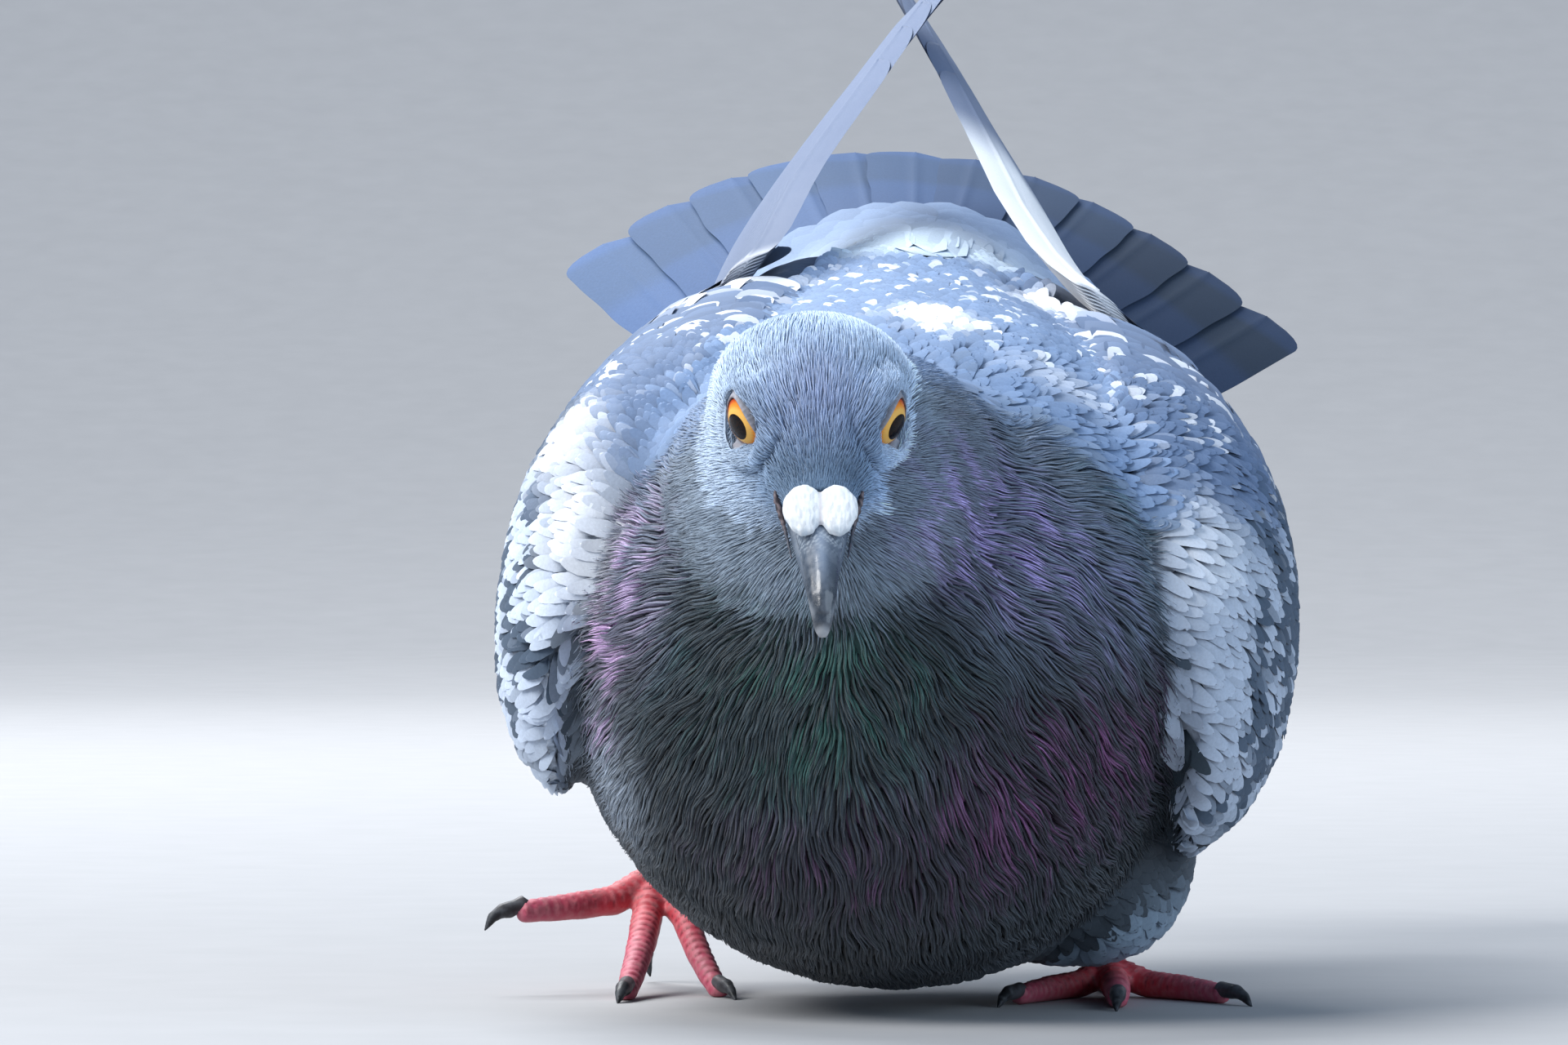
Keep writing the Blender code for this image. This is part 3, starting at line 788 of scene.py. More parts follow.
@dataclass(frozen=True)
class BareColours:
    """The colours of eyes, horn, cere, mouth and legs, and a painted highlight on the bill, as linear red,
    green and blue.
    """

    gold: Colour = (0.820, 0.460, 0.110)
    orange: Colour = (0.800, 0.250, 0.030)
    rust: Colour = (0.480, 0.060, 0.015)
    iris_rim: Colour = (0.020, 0.008, 0.006)
    pupil: Colour = (0.003, 0.003, 0.004)
    lid: Colour = (0.285, 0.300, 0.350)
    lid_edge: Colour = (0.075, 0.035, 0.030)
    horn: Colour = (0.105, 0.135, 0.185)
    horn_front: Colour = (0.026, 0.034, 0.048)
    ridge_highlight: Colour = (0.250, 0.305, 0.400)
    horn_edge: Colour = (0.300, 0.330, 0.370)
    horn_tip: Colour = (0.420, 0.440, 0.470)
    dust: Colour = (0.520, 0.580, 0.640)
    chalk: Colour = (0.870, 0.885, 0.900)
    chalk_worn: Colour = (0.300, 0.380, 0.460)
    chalk_cleft: Colour = (0.420, 0.360, 0.400)
    chalk_crack: Colour = (0.500, 0.520, 0.550)
    chalk_root: Colour = (0.220, 0.240, 0.280)
    mouth: Colour = (0.170, 0.130, 0.140)
    mouth_dark: Colour = (0.030, 0.022, 0.028)
    mouth_front: Colour = (0.045, 0.055, 0.080)
    toe: Colour = (0.550, 0.055, 0.074)
    shin: Colour = (0.450, 0.068, 0.122)
    scute_edge: Colour = (0.460, 0.120, 0.140)
    scute_groove: Colour = (0.150, 0.018, 0.030)
    sole: Colour = (0.360, 0.130, 0.130)
    claw: Colour = (0.055, 0.050, 0.055)
    claw_tip: Colour = (0.012, 0.013, 0.016)


PIGMENTS = Pigments()
BARE = BareColours()


@dataclass(frozen=True)
class Blot:
    """A soft round patch of colour in the standing bird: its middle, its radii and how strong it is."""

    middle: Triple
    radii: Triple
    colour: Colour
    strength: float = 1.0

    def share(self, points: Array) -> Array:
        """How much of the patch points of the standing frame get, from 0 to its strength."""
        away = ((points - np.array(self.middle)) / np.array(self.radii)) ** 2
        return self.strength * np.exp(-0.5 * away.sum(-1) ** 1.5)


GREEN: Colour = (0.030, 0.150, 0.115)
TEAL: Colour = (0.045, 0.145, 0.155)
PURPLE: Colour = (0.330, 0.270, 0.520)
PINK: Colour = (0.600, 0.420, 0.660)
WINE: Colour = (0.165, 0.070, 0.165)

# The neck's and breast's green, teal, purple, pink and wine: partly the feathers' own iridescent colour,
# partly sheen painted into their colour at fixed places.
SHEEN = (
    Blot((-10, -85, 44), (13, 14, 12), GREEN, 0.40),
    Blot((29, -62, 64), (10, 14, 11), TEAL, 0.40),
    Blot((-30, -72, 56), (6, 12, 9), TEAL, 0.30),
    Blot((9, -81, 68), (9, 12, 8), PURPLE, 0.85),
    Blot((21, -74, 60), (9, 14, 7), PURPLE, 0.50),
    Blot((19, -78, 35), (13, 16, 8), WINE, 0.90),
    Blot((4, -80, 26), (22, 16, 7), WINE, 0.65),
    Blot((-36, -68, 61), (6, 12, 9), PINK, 0.60),
    Blot((-38, -68, 51), (4, 8, 4), PINK, 0.85),
    Blot((-40, -62, 41), (3, 6, 2), PINK, 0.80),
    Blot((30, -66, 40), (8, 12, 9), WINE, 0.60),
)
PATCHES = (
    # The first and third blots darken the shoulder and the back on the bird's left: partly their own darker
    # blue, partly painted shade on the side away from the key light.
    Blot((42, -22, 84), (12, 26, 11), PIGMENTS.shoulder, 0.85),
    Blot((-38, -52, 75), (10, 14, 6), PIGMENTS.shoulder, 0.85),
    Blot((30, 20, 96), (16, 24, 12), PIGMENTS.shoulder, 0.5),
    Blot((-38, -56, 36), (5, 12, 9), PIGMENTS.lobe, 0.8),
    Blot((4.2, -30, 94.5), (3.8, 7.5, 5), PIGMENTS.white, 3.0),
    Blot((24, 42, 99), (4.5, 8, 6), PIGMENTS.white, 1.6),
    Blot((-22, 38, 102), (7, 5, 6), PIGMENTS.white, 0.9),
    Blot((-31, 25, 98), (5, 5, 5), PIGMENTS.white, 0.8),
    Blot((-43, -46, 79), (4, 8, 7), PIGMENTS.white, 0.75),
    Blot((20, -47, 87), (6, 6, 4), PIGMENTS.white, 0.35),
    Blot((38, -57, 66), (4, 6, 6), PIGMENTS.white, 0.45),
    Blot((-40, -59, 66), (4, 6, 9), PIGMENTS.white, 0.65),
)
NAPE_ACROSS = (-46, -34, -27, -12, 5, 16, 24.5, 32.4, 40)
NAPE_HEIGHT = (60, 73, 79, 87, 86, 80, 74, 67, 59)
SLANT = np.array(((1.0, 0.0, 0.0), (0.0, 0.75, -0.35), (0.0, 0.35, 0.75)))


@dataclass
class Markings:
    """One rule for the colours of skin and coat alike."""

    stance: Stance

    def pigment(self, points: Array, tracts: Array) -> Array:
        """The plumage's colour.

        Args:
            points: Places in the row frame.
            tracts: The value of each point's tract.

        Returns:
            Linear colours, one row for each point.
        """
        up = self.stance.upright(points)
        body = self._body(points, up)
        colours = np.where((tracts == Tract.WING.value)[:, None], self._wing(points, up), body)
        thigh = smooth(24, 16, up[:, 2])[:, None] * (tracts == Tract.THIGH.value)[:, None]
        colours = colours + (np.array(PIGMENTS.thigh) - colours) * thigh
        return np.where((tracts == Tract.HEAD.value)[:, None], self._head(points), colours)

    def _head(self, points: Array) -> Array:
        """Crown, forehead, lores, cheeks and the throat that darkens downwards."""
        own = self.stance.to_head(points)
        # Painted highlight: the crown, the back and the sides of the head are painted paler than the
        # forehead, where the light from above and behind falls.
        colours = mix(PIGMENTS.forehead, PIGMENTS.crown, smooth(-6, 9, own[:, 1] + 0.55 * np.abs(own[:, 0])))
        colours = mix(colours, PIGMENTS.lore, smooth(-6.5, -12, own[:, 1]) * smooth(-6, 1, own[:, 2]) * 0.9)
        beside = smooth(7.5, 11, np.abs(own[:, 0])) * smooth(3, -3, own[:, 2])
        colours = mix(colours, PIGMENTS.cheek, np.maximum(beside, smooth(-3, -7, own[:, 2])) * 0.85)
        # Painted fill light: the lower side of the head on the bird's left, in shade away from the key light,
        # is painted up to half again as bright.
        colours = colours * (1 + 0.5 * smooth(3, 9, own[:, 0]) * smooth(2, -5, own[:, 2]))[:, None]
        lavender = np.exp(-((own[:, 0] / 7) ** 2) - ((own[:, 1] + 4) / 6) ** 2) * smooth(0, 6, own[:, 2])
        colours = mix(colours, PIGMENTS.lavender, lavender * 0.5)
        return mix(colours, self._neck(points), smooth(-8.5, -16.5, own[:, 2] - 0.25 * own[:, 1]))

    def _neck(self, points: Array) -> Array:
        """Grey under the bill that turns to dark slate down the breast."""
        spot = self.stance.standing(points)
        away = np.linalg.norm((spot - np.array((-11.5, -82, 74))) * (1, 0.8, 1), axis=-1)
        colours = mix(PIGMENTS.throat, PIGMENTS.breast, smooth(14, 23, away + 1.5 * ripple(points, 5.0, 31)))
        aside = smooth(12, 24, np.abs(spot[:, 0] + 11.5)) * smooth(42, 66, spot[:, 2])
        colours = mix(colours, PIGMENTS.collar, aside)
        return mix(colours, PIGMENTS.belly, smooth(26, 12, spot[:, 2]))

    def _body(self, points: Array, up: Array) -> Array:
        """Neck and breast in front, belly and flanks below, mantle and rump above."""
        lower = mix(PIGMENTS.belly, PIGMENTS.flank, smooth(-30, 30, up[:, 1]))
        lower = mix(lower, PIGMENTS.vent, smooth(40, 85, up[:, 1]))
        upper = mix(PIGMENTS.mantle, PIGMENTS.rump, smooth(58, 72, up[:, 1] - 0.12 * np.abs(up[:, 0])))
        behind = mix(lower, upper, smooth(-4, 14, up[:, 2] - spine(up[:, 1]) - 8))
        return self._flecked(points, up, mix(self._neck(points), behind, self.behind_neck(up)))

    def behind_neck(self, up: Array) -> Array:
        """Shares from 0 on neck and breast to 1 behind them, for points in the upright frame."""
        spot = self.stance.standing(self.stance.leaned(up))
        line = np.interp(spot[:, 0], NAPE_ACROSS, NAPE_HEIGHT)
        above = smooth(-3, 2, spot[:, 2] - line) * smooth(-84, -78, up[:, 1])
        return np.maximum(smooth(-50, -30, up[:, 1]), above)

    def _wing(self, points: Array, up: Array) -> Array:
        """Pale coverts with a bluer shoulder and a greyer lower lobe."""
        level = up[:, 2] - spine(up[:, 1])
        # Painted light and shade: the pale coverts are painted lighter on the bird's right, which faces the
        # key light, and darker on its left, which lies in shade.
        pale = np.array(PIGMENTS.wing) * (0.80 + 0.26 * smooth(5, -5, up[:, :1]))
        colours = mix(pale, PIGMENTS.shoulder, smooth(66, 78, up[:, 2]))
        colours = mix(colours, PIGMENTS.lobe, smooth(-12, -26, level) * 0.7)
        beside = np.abs(up[:, 0]) + (up[:, 0] < 0) * (4.0 * smooth(56, 68, up[:, 2]) - 2.6)
        size = 0.42 + 0.10 * smooth(43, 50, beside) + 0.04 * (up[:, 0] > 0)
        spots = smooth(0.08, -0.04, cells(up @ SLANT, 5.6, 1.7) - size)
        zone = smooth(41.5, 44.0, beside) * smooth(27, 33, up[:, 2]) * smooth(84, 74, up[:, 2])
        colours = mix(colours, PIGMENTS.spot, spots * zone * 0.93)
        return self._flecked(points, up, colours)

    def _flecked(self, points: Array, up: Array, colours: Array) -> Array:
        """White blots and scattered pale feathers over the mantle and the shoulders."""
        spot = self.stance.standing(points)
        for patch in PATCHES:
            colours = mix(colours, patch.colour, np.clip(patch.share(spot), 0, 1))
        zone = smooth(66, 84, up[:, 2]) * smooth(-56, -34, up[:, 1]) * smooth(66, 46, up[:, 1])
        stray = smooth(0.70, 1.0, ripple(points * (1, 0.55, 1), 4.6, 41)) * zone * 0.6
        return mix(colours, PIGMENTS.white, stray)

    def lustre(self, points: Array, tracts: Array) -> Array:
        """The shining colours of neck and breast: partly their own iridescent colour, partly painted sheen.

        Args:
            points: Places in the row frame.
            tracts: The value of each point's tract.

        Returns:
            Linear colours with the sheen's strength as a fourth number.
        """
        spot = self.stance.standing(points)
        shares = np.stack([blot.share(spot) for blot in SHEEN], -1)
        total = shares.sum(-1)
        colours = (shares @ np.array([blot.colour for blot in SHEEN])) / np.maximum(total, 1e-6)[:, None]
        feathered = (tracts != Tract.WING.value) * smooth(-20, -40, spot[:, 1])
        feathered = feathered * np.where(tracts == Tract.HEAD.value, 0.25, 1)
        return np.concatenate([colours, (np.clip(total, 0, 1) * feathered)[:, None]], -1)


# ---- finishes


class Net:
    """A node tree that is wired by small calls."""

    def __init__(self, tree: bpy.types.NodeTree) -> None:
        """Keeps the tree."""
        self.tree = tree

    def wire(self, value: object, socket: bpy.types.NodeSocket) -> None:
        """Feeds a socket from another node's output, or sets it to a number or a colour."""
        if isinstance(value, bpy.types.NodeSocket):
            self.tree.links.new(value, socket)
        elif isinstance(value, tuple) and socket.type == "RGBA":
            socket.default_value = (*value[:3], 1.0)
        elif value is not None:
            socket.default_value = value

    def node(self, kind: str, settings: dict | None = None, **inputs: object) -> bpy.types.Node:
        """Adds a node.

        Args:
            kind: The node's type without its ShaderNode prefix.
            settings: Properties of the node itself.
            inputs: Values for its sockets, with _ for a space in their names.

        Returns:
            The node.
        """
        made = self.tree.nodes.new("ShaderNode" + kind)
        for name, value in (settings or {}).items():
            setattr(made, name, value)
        for name, value in inputs.items():
            self.wire(value, made.inputs[name.replace("_", " ")])
        return made

    def math(self, operation: str, *values: object, clamp: bool = False) -> bpy.types.NodeSocket:
        """A Math node's output."""
        made = self.tree.nodes.new("ShaderNodeMath")
        made.operation = operation
        made.use_clamp = clamp
        for value, socket in zip(values, made.inputs, strict=False):
            self.wire(value, socket)
        return made.outputs[0]

    def blend(self, share: object, first: object, second: object, way: str = "MIX") -> bpy.types.NodeSocket:
        """A colour Mix node's output."""
        made = self.tree.nodes.new("ShaderNodeMix")
        made.data_type = "RGBA"
        made.blend_type = way
        self.wire(share, made.inputs[0])
        self.wire(first, made.inputs[6])
        self.wire(second, made.inputs[7])
        return made.outputs[2]

    def step(self, value: object, low: float, high: float) -> bpy.types.NodeSocket:
        """A smooth step from 0 at low to 1 at high."""
        made = self.tree.nodes.new("ShaderNodeMapRange")
        made.interpolation_type = "SMOOTHSTEP"
        turned_round = low > high
        for socket, number in zip(
            ("From Min", "From Max", "To Min", "To Max"),
            (high, low, 1.0, 0.0) if turned_round else (low, high, 0.0, 1.0), strict=True
        ):
            made.inputs[socket].default_value = number
        self.wire(value, made.inputs["Value"])
        return made.outputs["Result"]

    def noise(self, scale: float, detail: float = 2.0, where: object = None) -> bpy.types.NodeSocket:
        """A noise pattern in object space, with its scale in turns for each metre."""
        where = where or self.node("TexCoord").outputs["Object"]
        return self.node("TexNoise", Scale=scale, Detail=detail, Vector=where).outputs["Fac"]


def new_group(name: str, inputs: dict[str, str], outputs: dict[str, str]) -> tuple[Net, object, object]:
    """Starts a shader node group.

    Args:
        name: The group's name.
        inputs: Its input sockets' names and kinds.
        outputs: Its output sockets' names and kinds.

    Returns:
        The group's net, its input sockets and its output sockets.
    """
    tree = bpy.data.node_groups.new(name, "ShaderNodeTree")
    for sockets, way in ((inputs, "INPUT"), (outputs, "OUTPUT")):
        for label, kind in sockets.items():
            tree.interface.new_socket(label, in_out=way, socket_type="NodeSocket" + kind)
    start, end = tree.nodes.new("NodeGroupInput"), tree.nodes.new("NodeGroupOutput")
    return Net(tree), start.outputs, end.inputs


WAVER_SCALE = 420.0
GRAIN_SCALE = 2600.0
RAGGED_SCALE = 900.0


def barb_group() -> bpy.types.NodeTree:
    """The fine structure of a feather: barbs or strands, grain, and a sheen over the pigment."""
    kinds = {"Pigment": "Color", "Lustre": "Color", "Lustre Share": "Float", "Vane": "Vector"}
    kinds |= {name: "Float" for name in ("Across", "Along", "Slant", "Contrast", "Grain")}
    ends = {"Colour": "Color", "Metal": "Float", "Roughness": "Float", "Height": "Float"}
    net, given, out = new_group("barbs", kinds, ends)
    parts = net.node("SeparateXYZ", Vector=given["Vane"]).outputs
    aside = net.math("MULTIPLY", net.math("ABSOLUTE", net.math("SUBTRACT", parts[0], 0.5)), 2.0)
    phase = net.math("MULTIPLY", parts[0], given["Across"])
    phase = net.math("MULTIPLY_ADD", parts[1], given["Along"], phase)
    phase = net.math("MULTIPLY_ADD", aside, given["Slant"], phase)
    phase = net.math("MULTIPLY_ADD", net.noise(WAVER_SCALE), 9.0, phase)
    wave = net.math("SINE", phase)
    grain = net.math("MULTIPLY", net.math("SUBTRACT", net.noise(GRAIN_SCALE, 3.0), 0.5), given["Grain"])
    shade = net.math("MULTIPLY_ADD", wave, given["Contrast"], net.math("ADD", grain, 0.9))
    # Painted shade: the vane darkens towards its root.
    shade = net.math("MULTIPLY_ADD", parts[1], 0.22, shade)
    sheen = net.blend(given["Lustre Share"], given["Pigment"], given["Lustre"])
    scaled = net.node("VectorMath", {"operation": "SCALE"})
    net.wire(sheen, scaled.inputs[0])
    net.wire(shade, scaled.inputs["Scale"])
    net.wire(scaled.outputs[0], out["Colour"])
    net.wire(net.math("MULTIPLY", given["Lustre Share"], 0.75, clamp=True), out["Metal"])
    rough = net.math("MULTIPLY_ADD", given["Lustre Share"], -0.24, 0.64)
    net.wire(net.math("MULTIPLY_ADD", wave, 0.05, rough), out["Roughness"])
    net.wire(net.math("MULTIPLY_ADD", wave, 0.5, net.math("ADD", grain, 0.5)), out["Height"])
    return net.tree


def chequer_group() -> bpy.types.NodeTree:
    """The dark spot near the tip of a wing covert, with a soft ragged edge."""
    kinds = {"Vane": "Vector", "Check": "Float"}
    net, given, out = new_group("chequer", kinds, {"Mask": "Float"})
    parts = net.node("SeparateXYZ", Vector=given["Vane"]).outputs
    aside = net.math("DIVIDE", net.math("SUBTRACT", parts[0], 0.5), 0.44)
    along = net.math("DIVIDE", net.math("SUBTRACT", parts[1], 0.80), 0.34)
    away = net.math("ADD", net.math("POWER", aside, 2.0), net.math("POWER", along, 2.0))
    away = net.math("MULTIPLY_ADD", net.math("SUBTRACT", net.noise(RAGGED_SCALE, 3.0), 0.5), 0.9, away)
    edge = net.math("MULTIPLY_ADD", given["Check"], 2.2, -1.35)
    inside = net.math("SUBTRACT", edge, away)
    dark = net.math("MULTIPLY", net.step(inside, -0.3, 0.25), 0.9)
    net.wire(net.math("MULTIPLY", dark, net.step(given["Check"], 0.1, 0.3)), out["Mask"])
    return net.tree


def scuff_group() -> bpy.types.NodeTree:
    """Coarse and fine blotches over bare skin and horn, as a mask and a height."""
    net, given, out = new_group("scuff", {"Scale": "Float"}, {"Mask": "Float", "Height": "Float"})
    spot = net.node("TexCoord").outputs["Object"]
    coarse = net.node("TexNoise", Detail=4.0, Vector=spot, Scale=given["Scale"]).outputs["Fac"]
    fine = net.node(
        "TexNoise", Detail=3.0, Vector=spot, Scale=net.math("MULTIPLY", given["Scale"], 6.0)
    ).outputs["Fac"]
    net.wire(net.step(coarse, 0.4, 0.65), out["Mask"])
    net.wire(net.math("MULTIPLY_ADD", fine, 0.5, coarse), out["Height"])
    return net.tree


BARBS = barb_group()
CHEQUER = chequer_group()
SCUFF = scuff_group()


def place_group(net: Net, tree: bpy.types.NodeTree, **inputs: object) -> object:
    """Puts a node group into a net.

    Args:
        net: Where it goes.
        tree: The group.
        inputs: Values for its sockets, with _ for a space in their names.

    Returns:
        Its output sockets.
    """
    made = net.tree.nodes.new("ShaderNodeGroup")
    made.node_tree = tree
    for name, value in inputs.items():
        net.wire(value, made.inputs[name.replace("_", " ")])
    return made.outputs


def new_material(name: str) -> tuple[bpy.types.Material, Net, bpy.types.Node]:
    """Starts a material.

    Args:
        name: Its name.

    Returns:
        The material, its net and its Principled BSDF.
    """
    made = bpy.data.materials.new(name)
    made.use_nodes = True
    return made, Net(made.node_tree), made.node_tree.nodes["Principled BSDF"]


def bump(net: Net, shader: bpy.types.Node, height: object, strength: float, depth: float) -> None:
    """Raises a shader's surface by a height pattern, with its depth in millimetres."""
    made = net.node("Bump", Strength=strength, Distance=depth * MM, Height=height)
    net.wire(made.outputs["Normal"], shader.inputs["Normal"])


def hang(piece: Piece, slot: str, *nodes: str) -> Piece:
    """Lets a piece ride on the body and puts it in place of some solids.

    Args:
        piece: The finished object.
        slot: Not used.
        nodes: The solids that it stands for.

    Returns:
        The same piece.
    """
    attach(piece, BODY)
    if nodes:
        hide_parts(*nodes)
    faces = sum(len(polygon.vertices) - 2 for polygon in piece.data.polygons)
    LOG.info("%s: %d triangles", piece.name, faces)
    return piece


class Finish:
    """What every finish does once it can give a material."""

    slot: str

    def material(self) -> bpy.types.Material:
        """Each kind of finish makes its own."""
        raise NotImplementedError

    def dress(self, piece: Piece, *nodes: str) -> Piece:
        """Gives a piece this finish, hangs it on the body and names the solids that it stands for."""
        piece.data.materials.append(self.material())
        return hang(piece, self.slot, *nodes)


@dataclass(frozen=True)
class PlumageFinish(Finish):
    """Feathers: how their barbs run and how strongly they show."""

    name: str
    slot: str
    across: float = 0.0
    along: float = 0.0
    slant: float = 0.0
    contrast: float = 0.12
    grain: float = 0.35
    relief: float = 0.35
    gloss: float = 0.35
    chequered: bool = False
    shining: bool = False
    dark: Colour = (0.040, 0.060, 0.095)

    def material(self) -> bpy.types.Material:
        """The finish as a material.

        Returns:
            A material that reads the pigment, lustre and check attributes and the vane map.
        """
        made, net, shader = new_material(self.name)
        pigment = net.node("Attribute", {"attribute_name": "pigment"}).outputs["Color"]
        lustre = net.node("Attribute", {"attribute_name": "lustre"}).outputs
        vane = net.node("UVMap", {"uv_map": "Vane"}).outputs[0]
        if self.chequered:
            check = net.node("Attribute", {"attribute_name": "check"}).outputs["Fac"]
            spots = place_group(net, CHEQUER, Vane=vane, Check=check)
            pigment = net.blend(spots["Mask"], pigment, self.dark)
        turns = 2 * pi
        barbs = place_group(
            net, BARBS, Pigment=pigment, Lustre=lustre["Color"],
            Lustre_Share=lustre["Alpha"] if self.shining else 0.0, Vane=vane, Across=self.across * turns,
            Along=self.along * turns, Slant=self.slant * turns, Contrast=self.contrast, Grain=self.grain
        )
        net.wire(barbs["Colour"], shader.inputs["Base Color"])
        net.wire(barbs["Roughness"], shader.inputs["Roughness"])
        if self.shining:
            net.wire(barbs["Metal"], shader.inputs["Metallic"])
        shader.inputs["Specular IOR Level"].default_value = self.gloss
        shader.inputs["Sheen Weight"].default_value = self.gloss * 0.34
        shader.inputs["Sheen Roughness"].default_value = 0.45
        bump(net, shader, barbs["Height"], self.relief, 0.12)
        return made


@dataclass(frozen=True)
class PaintedFinish(Finish):
    """Bare skin and horn: painted by its pigment attribute and scuffed."""

    name: str
    slot: str
    roughness: float
    scale: float = 300.0
    scuff: Colour = (0.6, 0.6, 0.65)
    scuffed: float = 0.15
    relief: float = 0.3
    depth: float = 0.1
    coat: float = 0.0
    specular: float = 0.5

    def material(self) -> bpy.types.Material:
        """The finish as a material that reads the pigment attribute."""
        made, net, shader = new_material(self.name)
        pigment = net.node("Attribute", {"attribute_name": "pigment"}).outputs["Color"]
        marks = place_group(net, SCUFF, Scale=self.scale)
        worn = net.math("MULTIPLY", marks["Mask"], self.scuffed)
        net.wire(net.blend(worn, pigment, self.scuff), shader.inputs["Base Color"])
        rough = net.math("MULTIPLY_ADD", marks["Mask"], 0.15, self.roughness)
        net.wire(rough, shader.inputs["Roughness"])
        shader.inputs["Coat Weight"].default_value = self.coat
        shader.inputs["Coat Roughness"].default_value = 0.12
        shader.inputs["Specular IOR Level"].default_value = self.specular
        bump(net, shader, marks["Height"], self.relief, self.depth)
        return made


# ---- eye sockets


BALL_RADIUS = 5.2


@dataclass
class Socket:
    """Where an eyeball sits in the head and how its lids open, in the head's own frame."""

    side: str
    rim: Triple = (9.25, -1.3, 1.4)
    solid_outlook: Triple = (0.725, -0.66, 0.20)
    outlook: Triple = (0.79, -0.60, 0.04)
    sink: float = 3.75
    half_opening: float = 3.12
    brow: float = 2.72
    middle: Array = field(init=False)
    out: Array = field(init=False)
    forward: Array = field(init=False)
    upward: Array = field(init=False)

    def __post_init__(self) -> None:
        """Finds the eyeball's middle, and the directions out, to the bill and to the brow."""
        flip = np.array((SIDES[self.side], 1, 1))
        self.middle = (np.array(self.rim) - unit(np.array(self.solid_outlook)) * self.sink) * flip
        self.out = unit(np.array(self.outlook) * flip)
        self.forward = flattened(np.array((0.0, -1.0, -0.45)), self.out)
        self.upward = np.cross(self.forward, self.out) * SIDES[self.side]

    def opening(self, turn: Array) -> Array:
        """How far the lids open at each angle from the front corner, with a straight brow."""
        open_to = self.half_opening * (0.96 + 0.26 * np.abs(np.cos(turn)) ** 5)
        brow = self.brow / np.maximum(np.sin(turn), 0.05)
        return (open_to**-7.0 + brow**-7.0) ** (-1 / 7)

    def around(self, own: Array) -> tuple[Array, Array, Array]:
        """Places round the opening.

        Args:
            own: Points in the head's own frame.

        Returns:
            Distances from the outlook's line, angles round it and distances from the eyeball's middle.
        """
        gap = own - self.middle
        ahead, above = gap @ self.forward, gap @ self.upward
        same_side = np.where(gap @ self.out > 0, 0, 50)
        return np.hypot(ahead, above) + same_side, np.arctan2(above, ahead), np.linalg.norm(gap, axis=-1)

    def beside(self, own: Array) -> Array:
        """How far points lie outside the lids' opening."""
        away, turn, _ = self.around(own)
        return away - self.opening(turn)


SOCKETS = {side: Socket(side) for side in SIDES}


# ---- skin


FLESH = {
    Tract.HEAD: ["head"],
    Tract.COLLAR: ["neck"],
    Tract.TRUNK: ["trunk"],
    Tract.WING: ["wing_left", "wing_right"],
    Tract.THIGH: ["thigh_left", "thigh_right"],
}
FLESH_NODES = [node for nodes in FLESH.values() for node in nodes]
LEG_NODES = [f"tarsus_{side}" for side in SIDES]
LEG_NODES += [f"toe_{side}_{toe}" for side in SIDES for toe in TOE_NAMES]


@dataclass
class Skin:
    """The one skin under the coat, and the ground that every feather grows on."""

    stance: Stance
    markings: Markings
    voxel: float = 1.15
    swell: float = 0.5
    softening: int = 7
    obj: Piece = field(init=False)
    surface: Surface = field(init=False)
    tracts: Array = field(init=False)

    def __post_init__(self) -> None:
        """Melts the fleshy solids together and sinks them by the coat's depth."""
        self.obj = remeshed(merged_copy("skin", FLESH_NODES, self.swell), self.voxel, self.softening)
        points = places(self.obj)
        gaps = []
        for nodes in FLESH.values():
            solid = merged_copy("solid", nodes, 0.0)
            gaps.append(Surface(solid).distance(points))
            bpy.data.objects.remove(solid)
        self.tracts = np.argmin(gaps, axis=0)
        points = points - vertex_normals(self.obj) * self.depth(points)[:, None]
        set_places(self.obj, self.hollowed(points))
        self.surface = Surface(self.obj)

    def hollowed(self, points: Array) -> Array:
        """Presses in the skin under both eyes and raises it round them, up to the lids.

        Args:
            points: The skin's vertices.

        Returns:
            The vertices with two hollows, each with its rim.
        """
        own = self.stance.to_head(points)
        for socket in SOCKETS.values():
            away, turn, distance = socket.around(own)
            beside = socket.beside(own)
            most = 4.5 + 3.5 * smooth(-0.3, 1.7, beside)
            inward = np.maximum(distance - most, 0) * (away < 9)
            own = own - (own - socket.middle) * (inward / distance)[:, None]
            over = smooth(0.0, 0.7, np.sin(turn))
            rim = np.sqrt(BALL_RADIUS**2 - socket.opening(turn) ** 2) - 0.05 + 0.25 * over
            wanted = rim - (0.6 - 0.3 * over) * beside
            share = smooth(-0.1, 0.5, beside) * smooth(5.5, 1.5 + 1.5 * over, beside)
            lift = np.maximum(wanted - (own - socket.middle) @ socket.out, 0) * share
            own = own + socket.out * lift[:, None]
        return self.stance.from_head(own)

    def depth(self, points: Array) -> Array:
        """How deep the skin lies under the plumage's outline, with the swelling taken back."""
        own = self.stance.to_head(points)
        away = np.linalg.norm(own - np.array((0, 2, -6)), axis=-1)
        beside = np.minimum(*(socket.beside(own) for socket in SOCKETS.values()))
        base = np.linalg.norm(own - np.array((0, -18, -3)), axis=-1)
        thin = np.maximum(0.55 * smooth(4.0, 0.5, beside), 0.8 * smooth(10, 6, base))
        return self.swell + (0.6 + 1.3 * smooth(17, 36, away)) * (1 - thin)

    def tract_at(self, points: Array) -> Array:
        """The tract number at each point."""
        faces = [self.surface.tree.find_nearest(point)[2] for point in points.tolist()]
        return self.tracts[[self.surface.faces[face][0] for face in faces]]


# ---- how feathers lie


